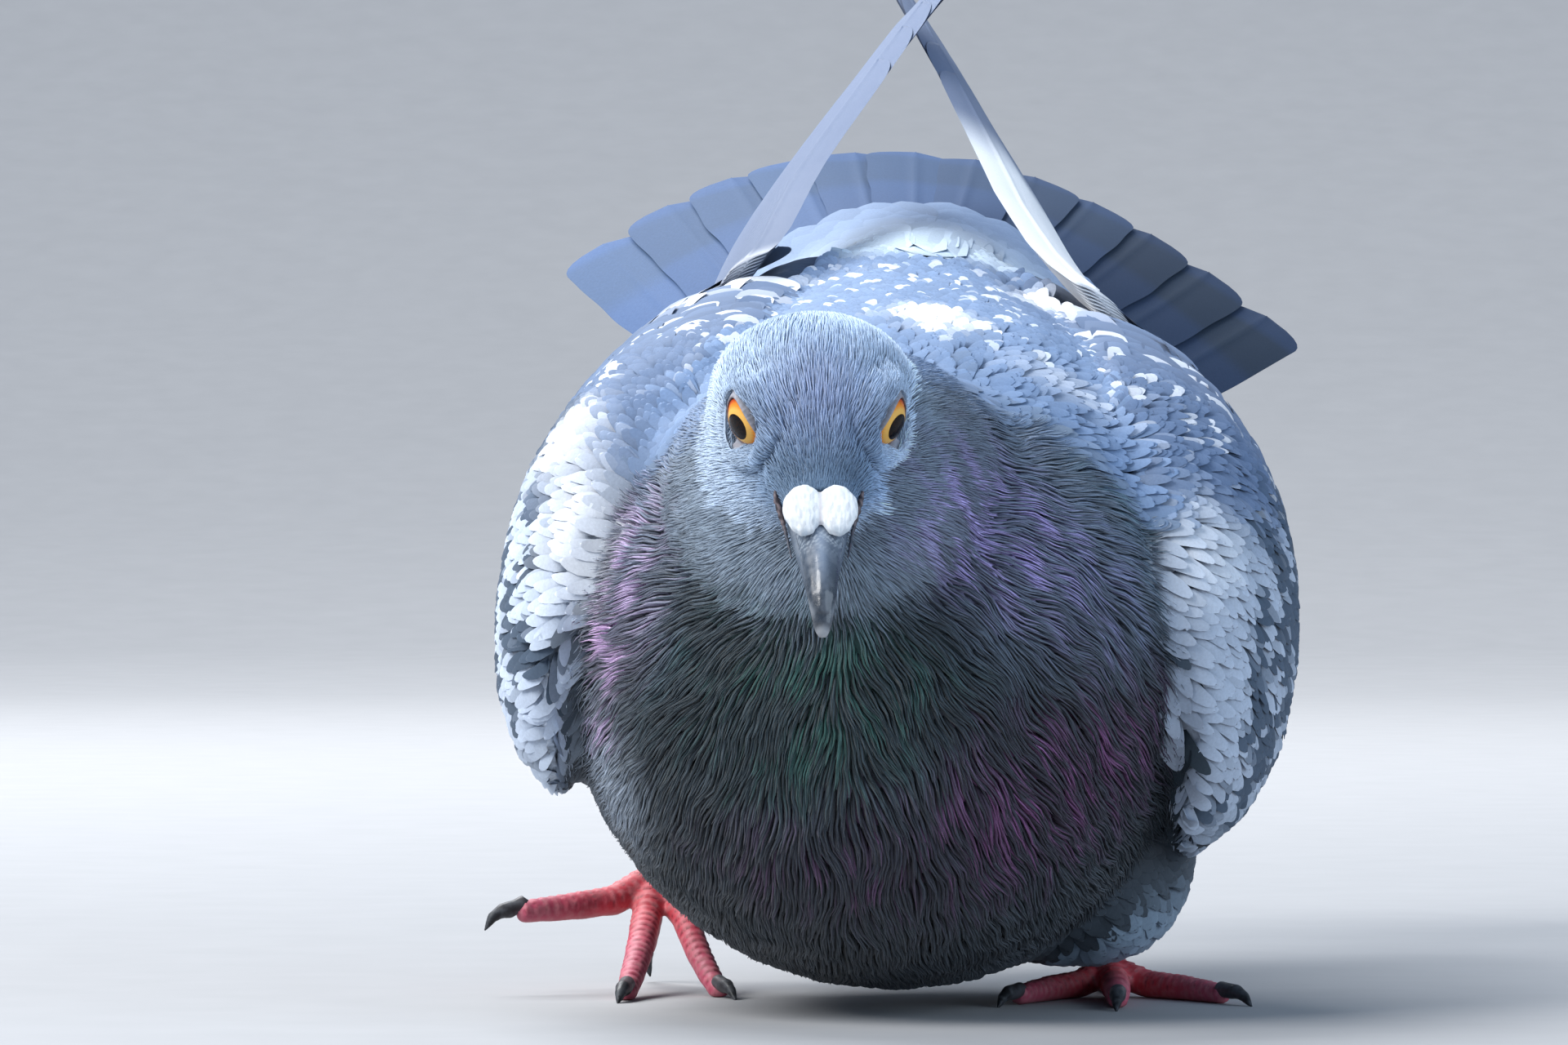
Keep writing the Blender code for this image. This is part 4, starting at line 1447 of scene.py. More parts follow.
@dataclass
class Lie:
    """The way that feathers lie: out from the bill over head and breast, then back along the body."""

    stance: Stance
    bill_base: Triple = (0.0, -16.0, -3.0)

    def flow(self, points: Array, normals: Array) -> Array:
        """The lie of the coat.

        Args:
            points: Places on the skin in the row frame.
            normals: The skin's unit normals there.

        Returns:
            Unit directions along the skin.
        """
        up = self.stance.upright(points)
        source = self.stance.from_head(np.array(self.bill_base))
        out = unit(points - source)
        back = np.array((0.0, 1.0, 0.0)) + np.array((0, 0, -0.18)) * smooth(95, 60, up[:, 2])[:, None]
        hanging = smooth(14, 26, np.linalg.norm(points - source, axis=-1)) * smooth(30, 45, up[:, 2])
        out = unit(out + np.array((0, 0, -0.5)) * (hanging * smooth(-8, 12, points[:, 0]))[:, None])
        way = out * (1 - smooth(-48, -8, up[:, 1]))[:, None] + back * smooth(-48, -8, up[:, 1])[:, None]
        own = self.stance.to_head(points)
        cheek = smooth(-1, -5, own[:, 2]) * smooth(3, 8, np.abs(own[:, 0]))
        cheek = cheek * smooth(21, 14, np.abs(own[:, 2]))
        down = np.stack([np.sign(own[:, 0]) * 0.5, own[:, 0] * 0 + 0.1, own[:, 0] * 0 - 0.9], 1)
        way = way + self.stance.head_way(down) * cheek[:, None] * 0.8
        for socket in SOCKETS.values():
            away, turn, _ = socket.around(own)
            near = np.exp(-((away / 5.2) ** 2)) * (1 - 0.85 * smooth(0.1, 0.8, np.sin(turn)))
            way = way + unit(points - self.stance.from_head(socket.middle)) * near[:, None]
        way = flattened(way, normals)
        locks = 0.24 * ripple(points, 9.0, 5) + 0.15 * ripple(points, 3.2, 6)
        calm = smooth(16, 30, np.linalg.norm(self.stance.to_head(points), axis=-1))
        return turned(way, normals, locks * (0.3 + 0.7 * calm))


def combed(surface: Surface, lie: Lie, roots: Array, lengths: Array, along: Array) -> tuple[Array, Array]:
    """Lays lines over the skin from their roots along the lie of the coat.

    Args:
        surface: The skin.
        lie: The directions.
        roots: Where the lines start.
        lengths: How long each one is, in millimetres.
        along: The places along each line, from 0 to 1.

    Returns:
        The lines' points and the normals there, as lines by points by three.
    """
    points, normals = surface.snap(roots)
    line, ups = [points], [normals]
    for step in np.diff(along):
        points = points + lie.flow(points, normals) * (lengths * step)[:, None]
        points, normals = surface.snap(points)
        line.append(points)
        ups.append(normals)
    return np.stack(line, 1), np.stack(ups, 1)


@dataclass(frozen=True)
class Tuft:
    """One kind of small feather: its spacing, size, stiffness and variation, in millimetres."""

    spacing: float
    length: float
    width: float
    thickness: float
    steps: int
    ring: Ring
    sink: float = 0.35
    lift: float = 1.0
    blunt: float | None = None
    roll: float = 0.25
    uneven: float = 0.14
    camber: float = 0.0
    ruffle: float = 0.2
    # How dark each feather is painted at its root, as painted shade under the feathers that lie over it.
    shade: float = 0.78
    rise: float = 0.8


HAIR = Tuft(0.30, 2.7, 0.37, 0.07, 3, Ring.THREAD, sink=0.2, roll=0.18, uneven=0.11, shade=0.86, rise=0.6)
LIMP = {"roll": 0.3, "ruffle": 0.12, "rise": 0.65}
STRAND = Tuft(0.55, 5.0, 0.50, 0.14, 4, Ring.THREAD, sink=0.3, uneven=0.2, **LIMP)
LONG_STRAND = Tuft(0.67, 6.4, 0.62, 0.17, 4, Ring.THREAD, uneven=0.22, **LIMP)
LEVEL = {"blunt": 0.3, "ruffle": 0.05, "uneven": 0.05, "roll": 0.04, "camber": 0.02}
LEVEL |= {"shade": 0.95, "rise": 0.5}
SOFT = Tuft(1.5, 7.5, 2.5, 0.06, 5, Ring.LEAF, **LEVEL)
BROAD = Tuft(1.38, 7.5, 2.4, 0.06, 5, Ring.LEAF, **LEVEL)
SMALL = Tuft(1.3, 6.0, 2.2, 0.06, 5, Ring.LEAF, **LEVEL)


@dataclass
class Coat:
    """Sows tufts over the skin and turns them into pieces."""

    skin: Skin
    lie: Lie
    markings: Markings
    draw: np.random.Generator

    def grow(
        self, name: str, tuft: Tuft, keep: Array, home: Callable[[Array], Array],
        scale: Callable[[Array], Array] | None = None
    ) -> Piece:
        """Makes one piece of the coat.

        Args:
            name: The piece's name.
            tuft: The kind of feather.
            keep: Which of the skin's vertices grow it.
            home: Unwraps places on the skin.
            scale: Gives each feather's size as a share of the kind's own.

        Returns:
            The piece without its finish.
        """
        roots = self.skin.surface.scattered(keep, tuft.spacing, self.draw.integers(1 << 16))
        count = len(roots)
        sizes = (scale(roots) if scale else np.ones(count)) * self.draw.uniform(0.8, 1.2, count)
        rounded_tip = tuft.blunt is not None
        along = rounded_steps(tuft.steps) if rounded_tip else np.arange(tuft.steps + 1) / tuft.steps
        line, ups = combed(self.skin.surface, self.lie, roots, tuft.length * sizes, along)
        if rounded_tip:
            line, stray = faired(line, along, 2)
            ups = unit(faired(ups, along, 1)[0])
            roots, sizes, line, ups = (rows[stray < 0.3] for rows in (roots, sizes, line, ups))
            count = len(roots)
        depth = self.skin.depth(line[:, 0]) - self.skin.swell
        height = -tuft.sink + (depth[:, None] * tuft.lift + tuft.sink) * along[None] ** tuft.rise
        height = height * self.draw.uniform(1 - tuft.ruffle, 1 + tuft.ruffle, (count, 1))
        line = line + ups * height[..., None]
        shape = rounded(along, 0.3, tuft.blunt) if rounded_tip else tapering(tuft.steps)
        width = tuft.width / 2 * np.clip(sizes, 0.5, 1.5)[:, None] * shape
        tracts = self.skin.tract_at(roots)
        jitter = roots + self.draw.normal(0, 0.6, roots.shape)
        pigment = self.markings.pigment(jitter, tracts)
        pigment = pigment * (1 + self.draw.normal(0, tuft.uneven, (count, 1)))
        lustre = self.markings.lustre(jitter, tracts)
        # Painted glints: the sheen is made strong and bright on scattered strands and faint on the rest.
        glint_strokes = smooth(-0.25, 0.75, ripple(roots, 5.0, 12) + self.draw.normal(0, 0.35, count))
        lustre[:, 3] *= 0.25 + 0.75 * glint_strokes
        lustre[:, :3] *= (0.55 + 0.9 * glint_strokes)[:, None]
        # Painted shade: each feather darkens from its tip towards its root, which lies in shade under its
        # neighbours.
        shade = tuft.shade + (1.06 - tuft.shade) * along
        return feather_piece(
            name, tuft.ring,
            Lay(
                line=line, up=ups, half_width=width, thickness=tuft.thickness * np.maximum(shape, 0.3),
                pigment=np.clip(pigment[:, None] * shade[None, :, None], 0, 1),
                lustre=np.repeat(lustre[:, None], len(along), 1), home=spread_homes(home(roots)),
                camber=tuft.camber, roll=self.draw.normal(0, tuft.roll, count)
            )
        )


@dataclass
class SmallFeathers:
    """The coat of head, neck, breast, belly and back."""

    markings: Markings
    skin: Skin
    coat: Coat
    stance: Stance

    def around(self, points: Array) -> Array:
        """Unwraps the trunk: the angle round its middle line, and the place along it."""
        up = self.stance.upright(points)
        turn = np.arctan2(up[:, 0], -(up[:, 2] - spine(up[:, 1])))
        return np.stack([turn, up[:, 1]], 1)

    def over_head(self, points: Array) -> Array:
        """Unwraps the head: the angle round the line of the bill, and the place along it."""
        own = self.stance.to_head(points)
        return np.stack([np.arctan2(own[:, 0], -(own[:, 2] + 6)), own[:, 1] - 0.3 * own[:, 2]], 1)

    def round_breast(self, points: Array) -> Array:
        """Unwraps the breast from its foremost point outwards, as a disc."""
        spot = self.stance.standing(points)
        middle = np.array((-6.0, -50.0, 52.0))
        way = unit(spot - middle)
        reach = np.arccos(np.clip(-way[:, 1], -1, 1))
        turn = np.arctan2(way[:, 0], way[:, 2])
        return np.stack([reach * np.cos(turn), reach * np.sin(turn)], 1)

    def head_size(self, points: Array) -> Array:
        """Tufts are shortest round the bill and the eyes, and grow towards the nape."""
        own = self.stance.to_head(points)
        from_bill = np.linalg.norm(own - np.array((0, -14, -3)), axis=-1)
        size = 0.40 + 0.60 * smooth(1, 20, from_bill)
        for socket in SOCKETS.values():
            size = np.minimum(size, 0.34 + 0.66 * smooth(0.3, 5, socket.beside(own)))
        return size * (1 + 0.6 * smooth(-7, -15, own[:, 2]))

    def neck_size(self, points: Array) -> Array:
        """Strands lengthen away from the head."""
        own = self.stance.to_head(points)
        size = 0.5 + 0.5 * smooth(16, 34, np.linalg.norm(own, axis=-1))
        return size * self.beside_wing(points)

    def beside_wing(self, points: Array) -> Array:
        """Strands shorten towards the wings, so that they only just lie over the wings' edges."""
        wing = self.skin.surface.points[self.skin.tracts == Tract.WING.value][::3]
        gaps = [np.linalg.norm(part[:, None] - wing, axis=-1).min(1) for part in np.array_split(points, 60)]
        return np.clip(0.22 + np.concatenate(gaps) / 12.0, 0.25, 1)

    def build(self) -> None:
        """Makes every piece of the small coat."""
        points = self.skin.surface.points
        tracts = self.skin.tracts
        own, up = self.stance.to_head(points), self.stance.upright(points)
        from_head = np.linalg.norm(own - np.array((0, 3, -5)), axis=-1)
        wing = tracts == Tract.WING.value
        head = (from_head < 22.5) & ~wing & (own[:, 2] > -19.5)
        upper = own[:, 2] > -2.5 - 0.1 * own[:, 1]
        front = ~head & ~wing & (tracts != Tract.THIGH.value) & (up[:, 1] < -16)
        nape = front & (self.markings.behind_neck(up) > 0.45)
        near = front & (from_head < 43) & ~nape
        low = (up[:, 2] < spine(up[:, 1]) - 4) | (tracts == Tract.THIGH.value)
        rest = ~head & ~wing & ~front
        under_wing = vertex_normals(self.skin.obj)[:, 2] < -0.15
        edge = wing & ((up[:, 1] < -18) | under_wing)
        forehead = own[:, 1] < -0.5
        fine = PlumageFinish(
            "head_feathers", "head_plumage", across=2.5, contrast=0.10, relief=0.2, shining=True
        )
        silk = PlumageFinish("neck_strands", "neck_plumage", across=3.0, contrast=0.22, shining=True)
        down = PlumageFinish(
            "body_feathers", "body_plumage", along=30, slant=7, contrast=0.03, relief=0.12, gloss=0.15
        )
        pieces = (
            ("crown_tufts", HAIR, head & upper & ~forehead, fine),
            ("forehead_tufts", HAIR, head & upper & forehead, fine),
            ("cheek_tufts_left", HAIR, head & ~upper & (own[:, 0] > 0), fine),
            ("cheek_tufts_right", HAIR, head & ~upper & (own[:, 0] < 0), fine),
            ("neck_strands", STRAND, near, silk),
            ("breast_strands", LONG_STRAND, front & ~near & ~nape, silk),
            ("belly_feathers", SOFT, rest & low, down),
            ("mantle_feathers", BROAD, (rest & ~low) | nape, down),
            ("wing_edge_left", SMALL, edge & (up[:, 0] > 0), down),
            ("wing_edge_right", SMALL, edge & (up[:, 0] < 0), down),
        )
        ways = {
            HAIR: (self.over_head, self.head_size),
            STRAND: (self.round_breast, self.neck_size),
            LONG_STRAND: (self.round_breast, self.beside_wing),
        }
        for name, tuft, keep, finish in pieces:
            finish.dress(self.coat.grow(name, tuft, keep, *ways.get(tuft, (self.around,))))


# ---- wings


@dataclass
class FoldedWing:
    """One folded wing: rows of coverts, then the secondaries that they lie on."""

    side: str
    skin: Skin
    stance: Stance
    markings: Markings
    draw: np.random.Generator
    first_row: float = -24.0
    last_row: float = 26.0
    small: float = 2.6
    large: float = 6.2
    cuts: int = 26
    most_stray: float = 0.5
    along: Array = field(init=False)
    low: Array = field(init=False)
    high: Array = field(init=False)

    def __post_init__(self) -> None:
        """Reads between which angles the solid wing covers the body."""
        node = f"wing_{self.side}"
        up = self.stance.upright(places(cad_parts[node]))
        self.along = np.linspace(up[:, 1].min() + 2, up[:, 1].max() - 1, self.cuts)
        spans = []
        for along in self.along:
            middle = self.stance.leaned(np.array((0.0, along, 0.0)))
            ring = self.stance.upright(cut_through(node, middle, np.array((0.0, 1.0, 0.0))))
            turn = np.arctan2(ring[:, 2] - spine(along), ring[:, 0] * SIDES[self.side])
            spans.append((turn.min(), turn.max()))
        level = [np.convolve(np.pad(row, 2, "edge"), np.ones(5) / 5, "valid") for row in np.transpose(spans)]
        self.low, self.high = level

    def place(self, along: Array, share: Array) -> tuple[Array, Array]:
        """The wing's surface at places along the body and shares of its height.

        Args:
            along: Places from breast to tail in the upright frame.
            share: 0 at the wing's lower edge and 1 at its upper edge.

        Returns:
            The points and the surface's normals, in the row frame.
        """
        shape = along.shape
        along, share = along.ravel(), share.ravel()
        low, high = np.interp(along, self.along, self.low), np.interp(along, self.along, self.high)
        turn = low + (high - low) * share
        way = np.stack([np.cos(turn) * SIDES[self.side], along * 0, np.sin(turn)], 1)
        middle = np.stack([along * 0, along, spine(along)], 1)
        starts = self.stance.leaned(middle + way * 90)
        spots, normals, met = self.skin.surface.cast(starts, self.stance.leaned_way(-way))
        fallback = self.stance.leaned(middle + way * 40)
        spots[~met], normals[~met] = fallback[~met], self.stance.leaned_way(way)[~met]
        return spots.reshape(*shape, 3), normals.reshape(*shape, 3)

    def row_places(self) -> Array:
        """Where the rows of coverts stand, closer together at the wrist."""
        rows, at = [], self.first_row
        while at < self.last_row:
            rows.append(at)
            share = (at - self.first_row) / (self.last_row - self.first_row)
            at += self.small + (self.large - self.small) * share
        return np.array(rows)

    def coverts(self) -> Piece:
        """Makes the rows of coverts.

        Returns:
            The piece without its finish.
        """
        roots = []
        probe = np.linspace(0.02, 0.99, 24)
        for number, at in enumerate(self.row_places()):
            edge, _ = self.place(np.full_like(probe, at), probe)
            reach = np.concatenate([[0], np.cumsum(np.linalg.norm(np.diff(edge, axis=0), axis=1))])
            size = (at - self.first_row) / (self.last_row - self.first_row)
            gap = 2.9 + 3.8 * size
            count = max(int(reach[-1] / gap), 2)
            stops = (np.arange(count) + 0.5 * (number % 2) + 0.25) / count * reach[-1]
            stops = np.clip(stops + self.draw.normal(0, 0.25, count), 0, reach[-1])
            for share in np.interp(stops, reach, probe):
                roots.append((at + self.draw.normal(0, 0.3), share, size))
        start, share, size = np.array(roots).T
        steps = rounded_steps(7)
        length = (9.5 + 9.0 * size) * self.draw.uniform(0.92, 1.08, len(size))
        along = start[:, None] + (length[:, None] * 0.93) * steps
        drop = share[:, None] - 0.03 * steps * smooth(0.35, 0.0, share)[:, None]
        line, ups = self.place(along, np.clip(drop, 0.015, 1.0))
        line, stray = faired(line, steps, 2)
        good = (stray < self.most_stray) & (line[:, -1, 1] > line[:, 0, 1] + 0.3 * length)
        line, share, size, start = line[good], share[good], size[good], start[good]
        ups = unit(faired(ups[good], steps, 1)[0])
        depth = self.skin.depth(line[:, 0]) - self.skin.swell
        height = -0.4 + (depth[:, None] + 0.4) * steps**0.35 + self.draw.uniform(-0.04, 0.05, (len(size), 1))
        line = line + ups * height[..., None]
        half = (2.35 + 3.2 * size)[:, None] * rounded(steps, 0.25, 0.5)
        tracts = np.full(len(size), Tract.WING.value)
        pigment = self.markings.pigment(line[:, 4], tracts)
        pigment = pigment * (1 + self.draw.normal(0, 0.06, (len(size), 1)))
        tip = self.stance.upright(line[:, -1])
        zone = smooth(41, 46, np.abs(tip[:, 0])) * smooth(0.05, 0.14, share) * smooth(78, 66, tip[:, 2])
        spotted = self.draw.uniform(0, 1, len(size)) < zone * 0.92
        check = np.where(spotted, self.draw.uniform(0.75, 1.1, len(size)), 0)
        # Painted shade: each covert is a little darker at its root, under the row over it.
        shade = 0.96 + 0.06 * steps
        return feather_piece(
            f"wing_coverts_{self.side}", Ring.VANE,
            Lay(
                line=line, up=ups, half_width=half, thickness=0.09 * rounded(steps, 0.2, 0.6, 0.3),
                pigment=np.clip(pigment[:, None] * shade[None, :, None], 0, 1),
                home=spread_homes(np.stack([share, start], 1)), camber=0.03,
                roll=self.draw.normal(0, 0.04, len(size)), patch=(0.012, 0.012), check=check
            )
        )

    def secondaries(self, count: int = 13) -> Piece:
        """Makes the long feathers that end the folded wing.

        Args:
            count: How many there are.

        Returns:
            The piece without its finish.
        """
        number = np.arange(count)
        share = 0.06 + 0.62 * (number + 0.5) / count
        steps = rounded_steps(22)
        start = np.interp(share, (0, 0.3, 1), (4, 6, 14))
        tip = np.interp(share, (0, 0.15, 0.5, 0.8), (30, 46, 63, 68))
        along = start[:, None] + (tip - start)[:, None] * steps
        line, ups = self.place(along, np.broadcast_to(share[:, None], along.shape))
        line, ups = faired(line, steps, 3)[0], unit(faired(ups, steps, 2)[0])
        height = 0.1 + 1.3 * steps[None] + 0.09 * number[:, None] - 2.6 * smooth(0.2, 0.0, steps)[None]
        line = line + ups * height[..., None]
        half = 5.6 * rounded(steps, 0.35, 0.8)
        tracts = np.full(line[..., 0].size, Tract.WING.value)
        pigment = self.markings.pigment(line.reshape(-1, 3), tracts).reshape(line.shape)
        band = (smooth(0.62, 0.68, steps) * smooth(0.86, 0.8, steps))[None] * np.ones((count, 1))
        pigment = mix(pigment * 0.92, PIGMENTS.band, band * 0.85)
        return feather_piece(
            f"secondaries_{self.side}", Ring.QUILL,
            Lay(
                line=line, up=ups, half_width=half, thickness=0.38 * (1 - 0.6 * steps), pigment=pigment,
                home=quill_homes(count), camber=0.08, patch=(0.92 / count, 0.96)
            )
        )

    def build(self) -> None:
        """Makes and dresses the wing's feathers."""
        PlumageFinish(
            f"covert_{self.side}", "wing_plumage", along=40, slant=-9, contrast=0.03, grain=0.22, relief=0.12,
            gloss=0.15, chequered=True
        ).dress(self.coverts())
        PlumageFinish(
            f"secondary_{self.side}", "wing_plumage", along=90, slant=-16, contrast=0.04, relief=0.15,
            gloss=0.12
        ).dress(self.secondaries())


# ---- flight feathers and tail


@dataclass
class Primaries:
    """The closed stack of long feathers behind one wing."""

    side: str
    stance: Stance
    draw: np.random.Generator
    count: int = 8
    steps: int = 40
    white_until: float = 0.0

    def spine_of_solid(self, cuts: int = 15) -> tuple[Array, Array, Array]:
        """Reads the solid blade.

        Args:
            cuts: How many times it is cut across.

        Returns:
            The middles, the directions of its width and its widths.
        """
        node = f"primaries_{self.side}"
        points = places(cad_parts[node])
        axis = main_axis(points)
        axis = axis * np.sign(axis[1])
        reach = points @ axis
        middles, ways, widths = [], [], []
        for share in np.linspace(0.03, 0.975, cuts):
            stop = reach.min() + (reach.max() - reach.min()) * share
            at = points.mean(0) + axis * (stop - points.mean(0) @ axis)
            ring = cut_through(node, at, axis)
            way = main_axis(ring)
            way = way * np.sign(way[0] * SIDES[self.side])
            spread = ring @ way
            middles.append(ring.mean(0) + way * ((spread.max() + spread.min()) / 2 - ring.mean(0) @ way))
            ways.append(way)
            widths.append(spread.max() - spread.min())
        return np.array(middles), np.array(ways), np.array(widths)

    def build(self) -> None:
        """Makes and dresses the stack."""
        middles, ways, widths = self.spine_of_solid()
        places_along = np.linspace(0, 1, len(middles))
        steps = 1 - (1 - np.arange(self.steps + 1) / self.steps) ** 1.25
        number = np.arange(self.count)
        ends = 0.60 + 0.40 * (number / (self.count - 1)) ** 0.85
        at = ends[:, None] * steps
        middle, way, width = (
            np.stack([np.interp(at, places_along, row) for row in np.atleast_2d(rows.T)], -1)
            for rows in (middles, ways, widths)
        )
        way, width = unit(way), width[..., 0]
        run = unit(np.gradient(middle, axis=1))
        over = unit(np.cross(way, run)) * SIDES[self.side]
        share = (number / (self.count - 1) - 0.5)[:, None]
        aside = share * np.interp(at, (0, 0.5, 1), (0.50, 0.42, 0.10)) * width
        height = share * np.interp(at, (0, 1), (-2.6, -1.2))
        line = middle + way * aside[..., None] + over * height[..., None]
        half = np.interp(at, (0, 0.25, 0.8, 1), (0.31, 0.34, 0.38, 0.38)) * width
        closing = 1 - np.clip((steps - 0.90) / 0.10, 0, 1) ** 2
        half = np.minimum(half, 5.2) * np.sqrt(np.maximum(closing, 0.01))
        grey = mix(PIGMENTS.quill, PIGMENTS.band, smooth(0.55, 1.0, at) * 0.35)
        pale = smooth(self.white_until + 0.06, self.white_until - 0.08, at + 0.05 * share)
        pigment = mix(grey * (1 + 0.12 * share[..., None]), PIGMENTS.white, pale * 0.95)
        piece = feather_piece(
            f"primary_quills_{self.side}", Ring.QUILL,
            Lay(
                line=line, up=over, half_width=half, thickness=0.42 * (1 - 0.55 * steps), pigment=pigment,
                home=quill_homes(self.count), camber=0.10, patch=(0.92 / self.count, 0.96)
            )
        )
        finish = PlumageFinish(
            f"primary_{self.side}", "flight_feathers", along=150, slant=-24, contrast=0.05, grain=0.18
        )
        finish.dress(piece, f"primaries_{self.side}")


@dataclass
class Tail:
    """The spread, lifted tail: twelve broad feathers on an arch, and the coverts over and under them."""

    stance: Stance
    markings: Markings
    draw: np.random.Generator
    feathers: int = 12
    rings: int = 45
    root_half_width: float = 25.0
    root_back: float = 76.0
    root_height: float = 106.0
    root_droop: float = 29.0
    tip_half_width: float = 59.6
    tip_back: float = 171.0
    tip_sweep: float = 20.0
    tip_height: float = 125.0
    tip_droop: float = 25.5
    arches: tuple[float, float] = (2.3, 1.75)
    tip_shift: float = 3.3

    def place(self, across: Array, out: Array) -> Array:
        """Points of the fan's middle sheet in the upright frame.

        Args:
            across: From -1 at the bird's right edge to 1 at its left edge.
            out: From 0 at the roots to 1 at the tips.

        Returns:
            The points.
        """
        arch = np.where(across > 0, self.arches[1], self.arches[0])
        root = np.stack(
            [
                1 + self.root_half_width * across,
                self.root_back + 0 * across,
                self.root_height - self.root_droop * across**2,
            ],
            -1,
        )
        tip = np.stack(
            [
                self.tip_shift + self.tip_half_width * across,
                self.tip_back - self.tip_sweep * across**2,
                self.tip_height - self.tip_droop * np.abs(across) ** arch,
            ],
            -1,
        )
        points = mix(root, tip, out)
        points[..., 2] -= 2.5 * out * (1 - out)
        return points

    def quills(self) -> Piece:
        """Makes the twelve tail feathers.

        Returns:
            The piece without its finish.
        """
        number = np.arange(self.feathers)
        across = ((2 * number + 1) / self.feathers - 1) * 0.965
        steps = 1 - (1 - np.arange(self.rings) / (self.rings - 1)) ** 1.3
        out = np.broadcast_to(steps, (self.feathers, self.rings))
        wide = np.broadcast_to(across[:, None], out.shape)
        line = self.place(wide, out)
        beside = self.place(wide + 0.02, out) - self.place(wide - 0.02, out)
        run = unit(np.gradient(line, axis=1))
        up = unit(np.cross(unit(beside), run))
        line = line + up * (1.0 - 1.7 * np.abs(wide) * (1 - 0.55 * out))[..., None]
        closing = 1 - np.clip((steps - 0.93) / 0.07, 0, 1) ** 2.4
        half = (4.6 + 3.6 * steps) * np.sqrt(np.maximum(closing, 0.02))
        half = half * (1 + 0.03 * ripple(line, 16.0, 3))
        edge = steps + 0.012 * ripple(line, 11.0, 9)
        band = smooth(0.70, 0.76, edge) * smooth(0.965, 0.925, edge)
        # Painted shade: towards the bird's left edge the dark band is painted stronger and the whole vane
        # darker, and towards its right edge lighter, as the key light falls from the right.
        right = smooth(0.1, 0.9, across)[:, None]
        colour = mix(PIGMENTS.tail_base, PIGMENTS.tail, smooth(0.15, 0.5, out))
        colour = mix(colour, PIGMENTS.band, np.clip(band * (0.55 + 0.4 * right), 0, 1))
        colour = colour * (1.45 - 0.95 * smooth(-0.5, 0.8, across))[:, None, None]
        colour = colour * (1 + self.draw.normal(0, 0.05, (self.feathers, 1, 1)))
        return feather_piece(
            "tail_quills", Ring.QUILL,
            Lay(
                line=self.stance.leaned(line), up=self.stance.leaned_way(up), half_width=half,
                thickness=0.36 * (1 - 0.6 * steps), pigment=colour, home=quill_homes(self.feathers),
                camber=0.05, roll=-0.06 * np.sign(across), patch=(0.92 / self.feathers, 0.96)
            )
        )

    def coverts(self, name: str, above: int, near: Colour, far: Colour, reach: float) -> Piece:
        """Makes the soft feathers over or under the roots of the tail.

        Args:
            name: The piece's name.
            above: 1 for the upper side and -1 for the lower one.
            near: Their colour next to the body.
            far: Their colour over the tail.
            reach: How far out the last of them start.

        Returns:
            The piece without its finish.
        """
        roots = []
        for row, out in enumerate(np.linspace(-0.10, reach, 9)):
            for across in np.linspace(-1.02, 1.02, 19 + row % 2) * (1 if above > 0 else 0.88):
                roots.append((across + self.draw.normal(0, 0.015), out + self.draw.normal(0, 0.008)))
        across, out = np.array(roots).T
        steps = rounded_steps(8)
        outs = out[:, None] + (0.27 - 0.04 * np.abs(across)[:, None]) * steps
        wide = np.broadcast_to(across[:, None], outs.shape)
        line = self.place(wide, outs)
        beside = unit(self.place(wide + 0.02, outs) - self.place(wide - 0.02, outs))
        up = unit(np.cross(beside, unit(np.gradient(line, axis=1)))) * above
        thick = 2.2 - 1.6 * smooth(0, reach + 0.2, outs)
        line = line + up * (thick + 0.7 * steps + 0.3)[..., None]
        half = 5.6 * rounded(steps, 0.25, 0.5)
        pigment = mix(near, far, smooth(-0.05, reach + 0.15, outs))
        pigment = pigment * (1 + self.draw.normal(0, 0.05, (len(out), 1, 1)))
        # Painted shade: each covert is a little darker at its root, under its neighbours.
        pigment = pigment * (0.9 + 0.12 * steps)[None, :, None]
        return feather_piece(
            name, Ring.VANE,
            Lay(
                line=self.stance.leaned(line), up=self.stance.leaned_way(up), half_width=half,
                thickness=0.2 * rounded(steps, 0.2, 0.6, 0.3), pigment=np.clip(pigment, 0, 1),
                home=spread_homes(np.stack([across, out], 1)), camber=0.06,
                roll=self.draw.normal(0, 0.03, len(out)), patch=(0.012, 0.012)
            )
        )

    def build(self) -> None:
        """Makes and dresses the tail."""
        quill = PlumageFinish(
            "tail_vanes", "flight_feathers", along=170, slant=-30, contrast=0.04, relief=0.15, gloss=0.08
        )
        soft = PlumageFinish(
            "tail_coverts", "body_plumage", along=30, slant=-7, contrast=0.03, relief=0.12, gloss=0.12
        )
        quill.dress(self.quills(), "tail")
        soft.dress(self.coverts("upper_tail_coverts", 1, PIGMENTS.rump, PIGMENTS.tail_base, 0.26))
        soft.dress(self.coverts("under_tail_coverts", -1, PIGMENTS.vent, PIGMENTS.tail, 0.42))


# ---- eyes, bill and cere


